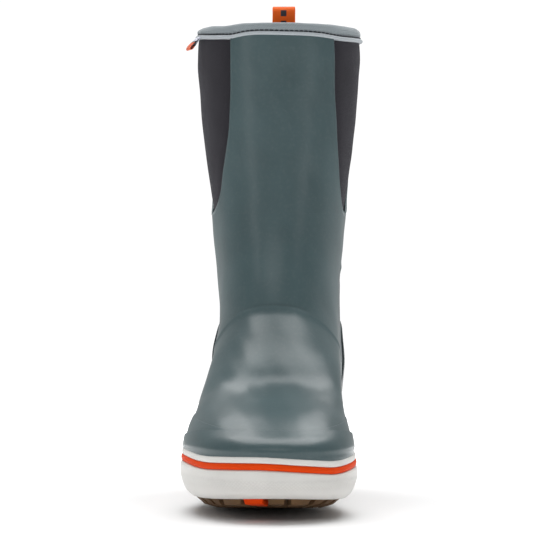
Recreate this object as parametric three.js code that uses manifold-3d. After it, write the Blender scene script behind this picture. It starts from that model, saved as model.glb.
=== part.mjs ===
// A right-foot deck boot, in millimetres. +Z is up, the toe points to -Y and +X is the inner side of the
// foot. The upper is one lofted surface: at each height the outline is a toe arc, a waist and a heel arc.
// Every layer of the boot is an offset of that surface, and overlays are cut from such layers.
import * as THREE from 'three';
import { mergeVertices } from 'three/addons/utils/BufferGeometryUtils.js';
import Module from 'manifold-3d';

const wasm = await Module();
wasm.setup();

// ---------------------------------------------------------------- driving dimensions
const COLLAR_Z = 328; // top of the binding
const RIM_Z = COLLAR_Z - 2.7; // top of the neoprene and lining, inside the binding
const PIPING_Z = 317; // the rubber stops here and the piping lies on its edge
const FEATHER_Z = 41; // where the sole unit's upper edge meets the upper
const GAP = 0.3; // between touching pieces
const SEGMENTS = 36; // around every ring
const TOE_SPRING = 12; // lift of the tread at the toe tip
const SPRING_START_Y = -25; // the tread is flat behind this
const TOE_Y = -147;
const HEEL_Y = 146;
const INFLARE = 8; // how far the toe tip leans to the inner side

const RUBBER = 1.7; // shell thickness
const NEOPRENE = 4.0;
const LINING = 0.8;
const OVERLAY = 1.2; // thickness of a rubber overlay

const OUTSOLE_TOP_Z = 12;
const FOXING_Z = 11.5; // lower edge of the sidewall
const STRIPE_Z = 33.5;
const BAND_Z = 37.7;
const MIDSOLE_TOP_Z = 20;
const LUG = 4; // tread depth

const LOOP_WIDTH = 16.5;
const LOOP_HEIGHT = 22;
const LOOP_BULGE = 4.6; // half depth of the loop's eye, to its outer face
const EYE_LOW = 4; // the two layers of webbing part this far above the hinge
const WEBBING = 1.3; // thickness
const LABEL_WIDTH = 11;
const LABEL_LENGTH = 10;

// ---------------------------------------------------------------- the upper's surface
// A natural cubic spline through [x, value] knots, held constant past its ends.
function through(knots) {
  const n = knots.length;
  const bend = new Array(n).fill(0);
  const work = new Array(n).fill(0);
  for (let i = 1; i < n - 1; i++) {
    const left = knots[i][0] - knots[i - 1][0];
    const right = knots[i + 1][0] - knots[i][0];
    const share = left / (left + right);
    const divisor = share * bend[i - 1] + 2;
    const turn = (knots[i + 1][1] - knots[i][1]) / right - (knots[i][1] - knots[i - 1][1]) / left;
    bend[i] = (share - 1) / divisor;
    work[i] = ((6 * turn) / (left + right) - share * work[i - 1]) / divisor;
  }
  for (let i = n - 2; i > 0; i--) bend[i] = bend[i] * bend[i + 1] + work[i];
  bend[0] = 0;
  return (at) => {
    const x = Math.min(Math.max(at, knots[0][0]), knots[n - 1][0]);
    let i = 0;
    while (i < n - 2 && x > knots[i + 1][0]) i++;
    const step = knots[i + 1][0] - knots[i][0];
    const b = (x - knots[i][0]) / step;
    const a = 1 - b;
    const curve = ((a ** 3 - a) * bend[i] + (b ** 3 - b) * bend[i + 1]) * (step * step) / 6;
    return a * knots[i][1] + b * knots[i + 1][1] + curve;
  };
}

// Side view: the front and back of the upper at each height.
const frontY = through([
  [41, TOE_Y], [44, -146.7], [47, -145.2], [50, -142.2], [53, -137.6], [57, -130], [61, -121.6],
  [64, -114.6], [67, -106.4], [70, -96.5], [73, -86], [77, -73], [82, -62.5], [92, -51.5],
  [104, -39.5], [116, -27.5], [125, -18.5], [131, -13], [138, -9], [148, -5], [162, -1],
  [180, 2.5], [205, 4.5], [250, 4.5], [328, 0],
]);
const backY = through([
  [41, HEEL_Y], [60, 148.5], [80, 147], [105, 139], [130, 131], [160, 128.5], [200, 130], [260, 133.5],
  [328, 136],
]);
// Half widths of the forefoot (which becomes the leg) and of the heel, on the outer and inner sides.
const leg = [
  [150, 43], [171, 45.1], [205, 48.1], [222, 50.4], [239, 52.7], [262, 55.4], [285, 57.3],
  [303, 58.5], [317, 58.3], [328, 56.9],
];
const outerHalf = through([
  [41, 55.5], [50, 54.2], [57, 52.4], [64, 49.6], [73, 46.6], [82, 44.2], [92, 42], [102, 40.6], [115, 40],
  [128, 40.6], [138, 41.7], ...leg,
]);
const innerHalf = through([
  [41, 52.6], [50, 51.4], [57, 50], [64, 48.2], [73, 46.6], [84, 45.4], [100, 44], [135, 42.3], ...leg,
]);
const outerHeel = through([
  [41, 39.5], [60, 42.5], [80, 46.4], [94, 47.5], [105, 46.4], [114, 44.4], [124, 42.4], [136, 42], ...leg,
]);
const innerHeel = through([
  [41, 39.5], [60, 41.6], [80, 44], [95, 44.8], [108, 44], [122, 42.8], [136, 42.3], ...leg,
]);
// Where the toe arc and the heel arc have their widest points. They meet in the leg, where a section is
// an ellipse.
const legBallY = [[140, 60], [165, 66], [328, 67]];
const outerBallY = through([[41, -50], [60, -44], [80, -24], [100, 6], [120, 40], ...legBallY]);
const innerBallY = through([[41, -76], [60, -66], [80, -38], [100, 0], [120, 38], ...legBallY]);
const heelBallY = through([[41, 98], [80, 96], [105, 88], [125, 78], [145, 69], [165, 66.5], [328, 67.5]]);
// How far the waist draws in, and how blunt the toe is.
const outerWaist = through([[41, 3], [60, 2], [85, 0.4], [110, 0], [328, 0]]);
const innerWaist = through([[41, 8], [60, 5.5], [85, 1.5], [110, 0], [328, 0]]);
const bluntness = through([[41, 2.4], [60, 2.3], [90, 2.05], [115, 2], [328, 2]]);

function halfWidth(side, y, z) {
  const ball = side > 0 ? innerBallY(z) : outerBallY(z);
  const heel = heelBallY(z);
  const wide = side > 0 ? innerHalf(z) : outerHalf(z);
  const heelWide = side > 0 ? innerHeel(z) : outerHeel(z);
  if (y < ball) {
    const ahead = (ball - y) / (ball - frontY(z));
    return wide * Math.sqrt(Math.max(0, 1 - ahead ** bluntness(z)));
  }
  if (y > heel) {
    const behind = (y - heel) / (backY(z) - heel);
    return heelWide * Math.sqrt(Math.max(0, 1 - behind ** 2));
  }
  const t = (y - ball) / (heel - ball);
  const waist = side > 0 ? innerWaist(z) : outerWaist(z);
  return wide + (heelWide - wide) * t * t * (3 - 2 * t) - waist * 16 * (t * (1 - t)) ** 2;
}

// turn is 0 at the toe, positive on the inner side and pi at the heel. Below the feather line the wall is
// upright.
function surface(turn, z) {
  const level = Math.max(z, FEATHER_Z);
  const front = frontY(level);
  const y = front + ((backY(level) - front) * (1 - Math.cos(turn))) / 2;
  const side = Math.sin(turn) >= 0 ? 1 : -1;
  const lean = INFLARE * (Math.max(0, -20 - y) / 127) ** 2;
  return new THREE.Vector3(lean + side * halfWidth(side, y, level), y, z);
}

function outward(turn, z) {
  const step = 0.02;
  const around = surface(turn + step, z).sub(surface(turn - step, z));
  const up = surface(turn, z + 1).sub(surface(turn, z - 1));
  return around.cross(up).normalize();
}

const offsetPoint = (turn, z, offset) => surface(turn, z).addScaledVector(outward(turn, z), offset);
const turns = Array.from({ length: SEGMENTS }, (_, i) => (2 * Math.PI * i) / SEGMENTS);
const ring = (z, offset) => turns.map((turn) => offsetPoint(turn, z, offset));

// A ring in the sole unit: the feather line's plan offset sideways, at a height that may depend on y.
function planRing(offset, height) {
  return turns.map((turn) => {
    const p = surface(turn, FEATHER_Z);
    const out = outward(turn, FEATHER_Z - 5);
    return new THREE.Vector3(p.x + out.x * offset, p.y + out.y * offset, height(p.y));
  });
}

const spring = (y) => TOE_SPRING * (Math.max(0, SPRING_START_Y - y) / (SPRING_START_Y - TOE_Y)) ** 1.4;

// ---------------------------------------------------------------- solids
function toSolid(geometry) {
  const bare = new THREE.BufferGeometry();
  bare.setAttribute('position', geometry.getAttribute('position'));
  if (geometry.index) bare.setIndex(geometry.index);
  const merged = mergeVertices(bare, 1e-4);
  const mesh = new wasm.Mesh({
    numProp: 3,
    vertProperties: merged.attributes.position.array,
    triVerts: new Uint32Array(merged.index.array),
  });
  return new wasm.Manifold(mesh);
}

// Joins rings of points into one closed solid. A loop of rings closes on itself; an open stack is capped
// at both ends by strips that run straight across from one side of the boot to the other. Every quad is
// split from its lower left corner to its upper right one, so that two layers' facets stay parallel.
function loft(rings, isLoop) {
  const positions = rings.flat().flatMap((p) => [p.x, p.y, p.z]);
  const triangles = [];
  const n = SEGMENTS;
  const last = isLoop ? rings.length : rings.length - 1;
  for (let r = 0; r < last; r++) {
    const a = r * n;
    const b = ((r + 1) % rings.length) * n;
    const rising = rings[(r + 1) % rings.length][0].z >= rings[r][0].z;
    for (let i = 0; i < n; i++) {
      const j = (i + 1) % n;
      if (rising) triangles.push(a + i, a + j, b + j, a + i, b + j, b + i);
      else triangles.push(a + i, a + j, b + i, a + j, b + j, b + i);
    }
  }
  const cap = (base, flip) => {
    for (let i = 0; i < n / 2; i++) {
      const corners = [base + i, base + i + 1, base + ((n - i - 1) % n), base + ((n - i) % n)];
      const faces = [[0, 1, 2], [0, 2, 3]].map((f) => f.map((k) => corners[k]));
      for (const f of faces) {
        if (new Set(f).size === 3) triangles.push(...(flip ? [f[0], f[2], f[1]] : f));
      }
    }
  };
  if (!isLoop) {
    cap(0, true);
    cap((rings.length - 1) * n, false);
  }
  const geometry = new THREE.BufferGeometry();
  geometry.setAttribute('position', new THREE.Float32BufferAttribute(positions, 3));
  geometry.setIndex(triangles);
  const solid = toSolid(geometry);
  if (solid.volume() > 0) return solid;
  geometry.setIndex(triangles.toReversed());
  return toSolid(geometry);
}

// A wall between two offsets of the surface, through the given heights.
function wall(outer, inner, heights) {
  const outside = heights.map((z) => ring(z, outer));
  const inside = heights.toReversed().map((z) => ring(z, inner));
  return loft([...outside, ...inside], true);
}

// A sock: a wall with a closed floor.
function sock(outer, inner, floorLow, floorHigh, heights) {
  const outside = [floorLow, ...heights].map((z) => ring(z, outer));
  const inside = [...heights.toReversed(), floorHigh].map((z) => ring(z, inner));
  return loft([...outside, ...inside], false);
}

// A band around the sole, from its section's [offset, height] corners in order.
const band = (section) => loft(section.map(([offset, height]) => planRing(offset, height)), true);

// Turns a shape extruded along Z into one that is drawn in [y, z] and runs along X from the given x.
const sideways = (x) => new THREE.Matrix4().set(0, 0, 1, x, 1, 0, 0, 0, 0, 1, 0, 0, 0, 0, 0, 1);

// An outline seen from the side, in [y, z], as a prism right through the boot.
function sidePrism(outline, from = -120, to = 120) {
  const shape = new THREE.Shape(outline.map(([y, z]) => new THREE.Vector2(y, z)));
  const geometry = new THREE.ExtrudeGeometry(shape, { depth: to - from, bevelEnabled: false });
  geometry.applyMatrix4(sideways(from));
  return toSolid(geometry);
}

// A smooth closed or open run of side-view points through a few corners.
function smoothLine(points, count = 16) {
  const curve = new THREE.CatmullRomCurve3(points.map(([y, z]) => new THREE.Vector3(0, y, z)));
  return curve.getPoints(count).map((p) => [p.y, p.z]);
}

function box(low, high) {
  const size = high.map((h, i) => h - low[i]);
  const geometry = new THREE.BoxGeometry(...size);
  geometry.translate(...high.map((h, i) => (h + low[i]) / 2));
  return toSolid(geometry);
}

const boot = new THREE.Group();

function add(name, solid, material) {
  const mesh = solid.getMesh();
  const stride = mesh.numProp;
  const positions = new Float32Array(mesh.numVert * 3);
  for (let i = 0; i < mesh.numVert; i++) {
    positions.set(mesh.vertProperties.subarray(i * stride, i * stride + 3), i * 3);
  }
  const geometry = new THREE.BufferGeometry();
  geometry.setAttribute('position', new THREE.BufferAttribute(positions, 3));
  geometry.setIndex(new THREE.BufferAttribute(mesh.triVerts, 1));
  geometry.computeVertexNormals();
  const part = new THREE.Mesh(geometry, material);
  part.name = name;
  boot.add(part);
}

const material = (color, roughness) => new THREE.MeshStandardMaterial({ color, roughness, metalness: 0 });
const shellRubber = material(0x5f7479, 0.38);
const counterRubber = material(0x3f5054, 0.45);
const neopreneCloth = material(0x38373b, 0.9);
const liningCloth = material(0x2b2c30, 0.95);
const whiteRubber = material(0xe4e2dd, 0.5);
const orangeRubber = material(0xf04a08, 0.45);
const gumRubber = material(0x8a7150, 0.6);
const bindingKnit = material(0x8f9a9e, 0.85);
const pipingKnit = material(0xaab2b8, 0.8);
const orangeWebbing = material(0xf4560f, 0.8);
const labelCloth = material(0xdfe0ea, 0.8);
const foam = material(0xd8d4c8, 0.85);
const board = material(0xb59a72, 0.9);
const shankSteel = new THREE.MeshStandardMaterial({ color: 0x9a9da0, roughness: 0.35, metalness: 1 });
const stiffenerPlastic = material(0xc9c5bb, 0.7);

// ---------------------------------------------------------------- upper
const footHeights = [41, 52, 60, 66, 71, 77, 86, 99, 113, 126, 140];
const shellHeights = [...footHeights, 160, 190, 225, 265, 300, PIPING_Z];
const upperHeights = [...shellHeights, RIM_Z];

// The side panels where the neoprene shows: a U from the rim down to the calf. The front panel of rubber
// between them reaches further back on the inner side.
const gussetRear = [
  [58, 197.5], [70, 202], [80, 213], [88, 229], [97, 255], [104, 288], [107, 317], [108, 340],
];
const outerGusset = [
  [10, 340], [10.3, 317], [13.5, 278], [17.5, 249], [24, 226], [32, 207.5], [43, 199.5], ...gussetRear,
];
const innerGusset = [
  [18, 340], [19, 314], [23.5, 274], [31.5, 235], [38, 215], [44.5, 204], [50, 199.5], ...gussetRear,
];

// The rubber shell: foot and leg in one, with its lower margin turned in under the lasting board's edge.
function rubberShell() {
  const low = MIDSOLE_TOP_Z + GAP;
  const margin = 12;
  const rings = [
    planRing(-margin, () => low),
    planRing(0, () => low),
    ...shellHeights.map((z) => ring(z, 0)),
    ...shellHeights.toReversed().map((z) => ring(z, -RUBBER)),
    planRing(-RUBBER, () => low + RUBBER),
    planRing(-margin, () => low + RUBBER),
  ];
  return loft(rings, true)
    .subtract(sidePrism(smoothLine(outerGusset, 30), -120, 0))
    .subtract(sidePrism(smoothLine(innerGusset, 30), 0, 120));
}
add('rubber_shell', rubberShell(), shellRubber);

const sockOuter = -(RUBBER + GAP);
const sockInner = sockOuter - NEOPRENE;
const stiffener = 0.9;
const floorZ = MIDSOLE_TOP_Z + RUBBER + 2 * GAP;

// Stiffeners lie in pockets in the neoprene, against the rubber.
const toeRegion = sidePrism([[-160, 32], [-96, 32], [-104, 60], [-112, 90], [-160, 90]]);
const heelRegion = sidePrism([[82, 32], [160, 32], [160, 104], [118, 104], [96, 74]]);
const stiffenerLayer = wall(sockOuter, sockOuter - stiffener, [30, ...footHeights.slice(0, -1)]);
const pocketLayer = wall(sockOuter + 1, sockOuter - stiffener - GAP, [30, ...footHeights.slice(0, -1)]);
const toePocket = sidePrism([[-170, 31], [-94, 31], [-102, 60], [-110, 92], [-170, 92]]);
const heelPocket = sidePrism([[80, 31], [170, 31], [170, 106], [117, 106], [94, 74]]);
add('toe_puff', stiffenerLayer.intersect(toeRegion), stiffenerPlastic);
add('heel_stiffener', stiffenerLayer.intersect(heelRegion), stiffenerPlastic);
const neoprene = sock(sockOuter, sockInner, floorZ, floorZ + NEOPRENE, upperHeights)
  .subtract(pocketLayer.intersect(toePocket))
  .subtract(pocketLayer.intersect(heelPocket));
add('neoprene_bootie', neoprene, neopreneCloth);

const liningOuter = sockInner - GAP;
const liningInner = liningOuter - LINING;
const liningFloor = floorZ + NEOPRENE + GAP;
const liningSock = sock(liningOuter, liningInner, liningFloor, liningFloor + LINING, upperHeights);
add('lining_sock', liningSock, liningCloth);

// ---------------------------------------------------------------- rubber overlays
const overlayLow = FEATHER_Z + 0.9;
const overlayHeights = [overlayLow, ...footHeights.slice(1)];
const firstLayer = wall(GAP + OVERLAY, GAP, overlayHeights);

// The rand: a low strip around the whole foot. Its top edge dips at the toe and climbs to the heel.
const randTop = smoothLine([[-170, 57], [-120, 57], [-90, 60], [-40, 62.5], [30, 62], [80, 66], [170, 70]]);
const randRegion = sidePrism([[-170, 30], ...randTop, [170, 30]].toReversed());
add('foot_rand', firstLayer.intersect(randRegion), shellRubber);

// The vamp overlay: from the rand to an arched edge at the instep.
const vampRear = smoothLine([
  [12, 40], [10, 62], [8, 85], [6, 104], [5, 118], [3, 127], [-3, 133.5], [-9, 135],
]);
const vampRegion = sidePrism([...vampRear, [-170, 135], [-170, 40]]);
const aboveRand = randTop.map(([y, z]) => [y, z + GAP]);
const aboveRandRegion = sidePrism([[-170, 150], ...aboveRand, [170, 150]]);
add('vamp_overlay', firstLayer.intersect(vampRegion).intersect(aboveRandRegion), shellRubber);

// The heel counter, above the rand, with a kick-off ridge across its back.
const counterFront = smoothLine([[52, 60], [56, 82], [68, 104], [90, 122], [112, 129], [150, 131]]);
const counterRegion = sidePrism([[52, 30], [170, 30], [170, 131], ...counterFront.toReversed()]);
add('heel_counter', firstLayer.intersect(counterRegion).intersect(aboveRandRegion), counterRubber);
const ridgeDepth = 3;
const ridgeLayer = wall(2 * GAP + OVERLAY + ridgeDepth, 2 * GAP + OVERLAY, [84, 88, 92]);
const ridgeRegion = sidePrism([[112, 80], [170, 80], [170, 96], [112, 96]]);
add('kick_off_ridge', ridgeLayer.intersect(ridgeRegion), counterRubber);

// The toe bumper lies over the rand and runs out low on the sides.
const bumperLayer = wall(2 * GAP + 2 * OVERLAY, 2 * GAP + OVERLAY, overlayHeights.slice(0, 4));
const bumperTop = smoothLine([
  [-170, 56], [-125, 56], [-100, 54.5], [-70, 51], [-40, 46.5], [-18, overlayLow],
]);
const bumperRegion = sidePrism([[-170, 30], ...bumperTop, [-18, 30]].toReversed());
add('toe_bumper', bumperLayer.intersect(bumperRegion), shellRubber);

// The back stay: a strip up the back seam, from the counter to the collar.
const stayLow = 133;
const stayHeights = [stayLow, 160, 190, 225, 265, 300, 316.5];
const stayLayer = wall(GAP + OVERLAY, GAP, stayHeights);
add('back_stay', stayLayer.intersect(box([-12, 90, stayLow - 1], [12, 170, 317])), shellRubber);

// ---------------------------------------------------------------- collar
const tapeFace = sockOuter + GAP; // the inner face of everything that lies on the neoprene's outside
const tapeBack = liningInner - GAP;
const binding = [
  [-0.5, PIPING_Z + 3.7], [0.1, 323.4], [-0.7, 326.6], [-3.9, COLLAR_Z], [-7.6, 326.9], [-8.6, 323.4],
  [-8.3, PIPING_Z + 0.5], [tapeBack, PIPING_Z + 0.5], [tapeBack, RIM_Z + GAP], [tapeFace, RIM_Z + GAP],
  [tapeFace, PIPING_Z + 3.7],
];
add('collar_binding', loft(binding.map(([offset, z]) => ring(z, offset)), true), bindingKnit);
const piping = [
  [tapeFace, PIPING_Z + GAP], [0.6, PIPING_Z + GAP], [1.1, PIPING_Z + 1.9], [0.5, PIPING_Z + 3.4],
  [tapeFace, PIPING_Z + 3.4],
];
add('collar_piping', loft(piping.map(([offset, z]) => ring(z, offset)), true), pipingKnit);

// ---------------------------------------------------------------- pull loop
const backCollar = backY(COLLAR_Z);
const tailGap = 1.9; // the webbing lies over the back stay and the piping
const loopY = backCollar + tailGap + WEBBING; // between the two layers of webbing
const loopHingeZ = COLLAR_Z + 1.7;

// One flank of the loop's teardrop, from the hinge to the top, at a distance in from its outer face.
function flank(inset) {
  const steps = 8;
  const top = LOOP_HEIGHT - inset;
  const root = Math.max(0, WEBBING - inset); // half thickness where the two layers come together
  return Array.from({ length: steps + 1 }, (_, i) => {
    const t = i / steps;
    const bulge = (LOOP_BULGE - inset) * Math.sin(Math.PI * t ** 0.8) ** 0.9;
    const height = top * (t + 0.06 * Math.sin(Math.PI * t));
    return [bulge + root * (1 - t) ** 4, Math.min(top, height)];
  });
}

function pullLoop() {
  const place = ([y, z]) => new THREE.Vector2(y + loopY, z + loopHingeZ);
  const mirror = (points) => points.toReversed().slice(1).map(([y, z]) => [-y, z]);
  const outer = flank(0);
  const root = [1, 2, 3, 4, 5].map((i) => {
    const angle = Math.PI * (1 + i / 6);
    return [WEBBING * Math.cos(angle), WEBBING * Math.sin(angle)];
  });
  const shape = new THREE.Shape([...outer, ...mirror(outer), ...root].map(place));
  const eye = flank(WEBBING).filter(([, z]) => z > EYE_LOW);
  shape.holes.push(new THREE.Path([[0, EYE_LOW - 0.6], ...eye, ...mirror(eye)].map(place)));
  const geometry = new THREE.ExtrudeGeometry(shape, { depth: LOOP_WIDTH, bevelEnabled: false });
  geometry.applyMatrix4(sideways(-LOOP_WIDTH / 2));
  return toSolid(geometry);
}
add('pull_loop', pullLoop(), orangeWebbing);

// Both ends of the webbing run down the back of the collar and are sewn there.
const tailLow = 292;
const tail = sidePrism(
  [
    [backY(tailLow) + tailGap, tailLow], [backY(tailLow) + tailGap + 2 * WEBBING, tailLow],
    [loopY + WEBBING, COLLAR_Z - GAP], [loopY - WEBBING, COLLAR_Z - GAP],
  ],
  -LOOP_WIDTH / 2,
  LOOP_WIDTH / 2,
);
add('pull_loop_tail', tail, orangeWebbing);

// ---------------------------------------------------------------- side label
// A folded ribbon that stands out and down from under the piping on the outer side.
const labelTurn = (-67 * Math.PI) / 180;
const labelZ = PIPING_Z + 3.4;
const labelRoot = offsetPoint(labelTurn, labelZ, 2.4);
const labelOut = outward(labelTurn, labelZ).setZ(0).normalize();
function sideLabel() {
  const thickness = 0.7;
  const length = LABEL_LENGTH;
  const profile = [
    [-0.5, -0.5], [0.2, -thickness], [length * 0.6, -1.3], [length - 1, -1.5], [length, 0],
    [length - 1, 1.1], [length * 0.6, 1.0], [0.2, thickness], [-0.5, 0.5],
  ];
  const shape = new THREE.Shape(profile.map(([u, v]) => new THREE.Vector2(u, v)));
  const geometry = new THREE.ExtrudeGeometry(shape, { depth: LABEL_WIDTH, bevelEnabled: false });
  geometry.translate(0, 0, -LABEL_WIDTH / 2);
  const along = labelOut.clone().multiplyScalar(0.85).add(new THREE.Vector3(0, 0, -1)).normalize();
  const width = new THREE.Vector3().crossVectors(labelOut, new THREE.Vector3(0, 0, 1)).normalize();
  const up = new THREE.Vector3().crossVectors(width, along);
  geometry.applyMatrix4(new THREE.Matrix4().makeBasis(along, up, width).setPosition(labelRoot));
  return toSolid(geometry);
}
add('side_label', sideLabel(), labelCloth);

// ---------------------------------------------------------------- sole unit
const level = (z, share) => (y) => z + share * spring(y);
const sidewall = [
  [-4.2, level(FOXING_Z, 0.4)], [-2.4, level(FOXING_Z, 0.4)], [1.4, level(15, 0.3)],
  [3.5, level(19.5, 0.2)],
  [4.2, level(25.5, 0.1)], [3.6, level(STRIPE_Z - GAP, 0)], [GAP, level(STRIPE_Z - GAP, 0)],
  [GAP, level(19, 0)],
];
add('sidewall', band(sidewall), whiteRubber);
const bandSection = (low, high, out) => [
  [GAP, level(low, 0)], [out, level(low, 0)], [out + 0.2, level((low + high) / 2, 0)],
  [out - 0.4, level(high, 0)], [GAP, level(high, 0)],
];
add('orange_stripe', band(bandSection(STRIPE_Z, BAND_Z - GAP, 3.0)), orangeRubber);
add('upper_foxing', band(bandSection(BAND_Z, FEATHER_Z + 0.6, 2.8)), whiteRubber);

// Midsole with a recess for the shank in its top.
const midsole = loft([
  planRing(-5.2, level(OUTSOLE_TOP_Z + GAP, 0.6)), planRing(-0.5, () => MIDSOLE_TOP_Z - 0.6),
  planRing(-0.5, () => MIDSOLE_TOP_Z),
], false);
const shankLow = MIDSOLE_TOP_Z - 1.9;
const shankHalf = [8, 55]; // half width and half length, under the arch
const shankY = 30;
add('midsole', midsole.subtract(
  box([-shankHalf[0] - GAP, shankY - shankHalf[1] - GAP, shankLow - GAP],
    [shankHalf[0] + GAP, shankY + shankHalf[1] + GAP, MIDSOLE_TOP_Z + 1]),
), foam);
add('shank', box([-shankHalf[0], shankY - shankHalf[1], shankLow],
  [shankHalf[0], shankY + shankHalf[1], MIDSOLE_TOP_Z - GAP]), shankSteel);

const boardLow = MIDSOLE_TOP_Z + GAP;
const lastingBoard = loft([
  planRing(-12.6, () => boardLow), planRing(-12.6, () => boardLow + RUBBER),
], false);
add('lasting_board', lastingBoard, board);

const footbedLow = liningFloor + LINING + GAP;
const footbed = loft([
  planRing(liningInner - 0.6, () => footbedLow),
  planRing(liningInner - 0.4, () => footbedLow + 6.5),
  planRing(liningInner - 3, () => footbedLow + 6.5),
  planRing(liningInner - 10, () => footbedLow + 4.5),
], false);
add('footbed', footbed, foam);

// Outsole: a plate that follows the toe spring, with tread lugs under it.
const plate = loft([
  planRing(-9, level(LUG, 1)), planRing(-7, level(LUG + 1.5, 1)), planRing(-5.4, level(9.5, 0.8)),
  planRing(-5.2, level(OUTSOLE_TOP_Z, 0.6)),
], false);

// A lug with the given plan corners, from the ground (or a low level) up into the plate.
const LUG_TOP = LUG + 2.5;
function lug(corners, low = 0, high = LUG_TOP) {
  const shape = new THREE.Shape(corners.map(([x, y]) => new THREE.Vector2(x, y)));
  const geometry = new THREE.ExtrudeGeometry(shape, { depth: high - low, bevelEnabled: false });
  const position = geometry.getAttribute('position');
  for (let i = 0; i < position.count; i++) {
    position.setZ(i, position.getZ(i) + low + spring(position.getY(i)));
  }
  return toSolid(geometry);
}

// The sole's edge in plan, as points with the length run so far from the toe tip.
function edgeTrack(side) {
  const track = [];
  let run = 0;
  for (let i = 0; i <= 180; i++) {
    const turn = (side * Math.PI * i) / 180;
    const p = surface(turn, FEATHER_Z);
    const out = outward(turn, FEATHER_Z - 5);
    if (i > 0) run += Math.hypot(p.x - track[i - 1].x, p.y - track[i - 1].y);
    track.push({ x: p.x, y: p.y, outX: out.x, outY: out.y, run });
  }
  return track;
}
const tracks = { 1: edgeTrack(1), [-1]: edgeTrack(-1) };

// The point a given length from the toe tip along one side (behind the tip when negative), drawn in by an
// inset.
function edgePoint(side, length, inset) {
  const track = tracks[length < 0 ? -side : side];
  const at = Math.abs(length);
  let i = 1;
  while (i < track.length - 1 && track[i].run < at) i++;
  const a = track[i - 1];
  const b = track[i];
  const t = (at - a.run) / (b.run - a.run);
  const mix = (key) => a[key] + (b[key] - a[key]) * t;
  return [mix('x') - mix('outX') * inset, mix('y') - mix('outY') * inset];
}

const EDGE_INSET = 8; // the tread stands in from the sidewall
const LUG_DEPTH = 12; // from the tread's edge inwards
const PITCH = 17.5; // of the blocks along the sides
const LUG_LENGTH = 13.8;
const HEEL_ROW = 71; // length of edge, on each side of the heel's middle, that carries blocks
const sideLength = (side) => tracks[side][180].run;

// Blocks along one side's edge, each from one length to another, tapering inwards.
function edgeLugs(side, spans) {
  const deep = EDGE_INSET + LUG_DEPTH;
  return spans.map(([from, to]) => {
    const corners = [
      edgePoint(side, from, EDGE_INSET), edgePoint(side, to, EDGE_INSET),
      edgePoint(side, to - 0.8, deep), edgePoint(side, from + 0.8, deep),
    ];
    return lug(side > 0 ? corners : corners.toReversed());
  });
}
const evenRow = (start, count) =>
  Array.from({ length: count }, (_, i) => [start + i * PITCH, start + i * PITCH + LUG_LENGTH]);

// Chevron bars across the sole, kept inside the edge blocks.
function bars(ys) {
  const inset = EDGE_INSET + LUG_DEPTH + 3;
  const thick = 6;
  const peak = 6;
  return ys.map((y) => {
    const left = -(halfWidth(-1, y, FEATHER_Z) - inset);
    const right = halfWidth(1, y, FEATHER_Z) - inset;
    const front = [[left, y], [0, y - peak], [right, y]];
    return lug([...front, ...front.toReversed().map(([x, at]) => [x, at + thick])]);
  });
}

// The orange toe insert takes one edge block's place, just to the outer side of the tip. The blocks
// beside it are longer than the rest, and the first inner one lies across the tip.
const INSERT_START = 8.5;
const INSERT_END = 21.5;
const innerToe = [[-5.5, 7.8], [11.2, 29.2]];
const outerToe = [[24.8, 47]];
const treadLugs = [
  ...edgeLugs(1, [...innerToe, ...evenRow(33.5, 6)]),
  ...edgeLugs(-1, [...outerToe, ...evenRow(51.5, 5)]),
  ...edgeLugs(1, evenRow(sideLength(1) - HEEL_ROW, 4)),
  ...edgeLugs(-1, evenRow(sideLength(-1) - HEEL_ROW, 4)),
  ...bars([-104, -91, -78, -65, -52, -39, -26, -13]),
  ...bars([86, 99, 112]),
];
let outsole = plate;
for (const block of treadLugs) outsole = outsole.add(block);

// A window is a little wider than its insert and open at the sole's edge.
function insertPlan(clearance) {
  const start = INSERT_START - clearance;
  const end = INSERT_END + clearance;
  const deep = EDGE_INSET + LUG_DEPTH + clearance;
  return [
    edgePoint(-1, end, EDGE_INSET - 3 * clearance), edgePoint(-1, start, EDGE_INSET - 3 * clearance),
    edgePoint(-1, start + 0.8, deep), edgePoint(-1, end - 0.8, deep),
  ];
}
const heelPlan = (clearance) => {
  const back = HEEL_Y - EDGE_INSET + 3 * clearance;
  const front = HEEL_Y - EDGE_INSET - 12 - clearance;
  const half = 7 + clearance;
  return [[-half, front], [half, front], [half, back], [-half, back]];
};
const toeWindow = lug(insertPlan(2 * GAP), -1, LUG_TOP + GAP);
const heelWindow = lug(heelPlan(2 * GAP), -1, LUG_TOP + GAP);
add('outsole', outsole.subtract(toeWindow).subtract(heelWindow), gumRubber);
add('toe_tread_insert', lug(insertPlan(0)), orangeRubber);
add('heel_tread_insert', lug(heelPlan(0)), orangeRubber);

// The part's origin is the middle of its box, on the ground.
const extent = new THREE.Box3().setFromObject(boot);
const middle = extent.getCenter(new THREE.Vector3());
boot.position.set(-middle.x, -middle.y, -extent.min.z);
boot.updateMatrixWorld(true);
export default boot;
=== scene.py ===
"""The looks of a right-foot deck boot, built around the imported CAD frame.

Shapes are worked out in the boot's own millimetres (toe at -Y, inner side at +X, ground at z 0) and
placed in the CAD model's frame, in metres, by place(). The upper is one lofted surface: surface(turn, z)
gives a point on it, where turn is the way round from the toe (0) over the inner side (+90 degrees) to
the heel (180). Every layer of the upper is an offset of that surface.
"""

import math

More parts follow.
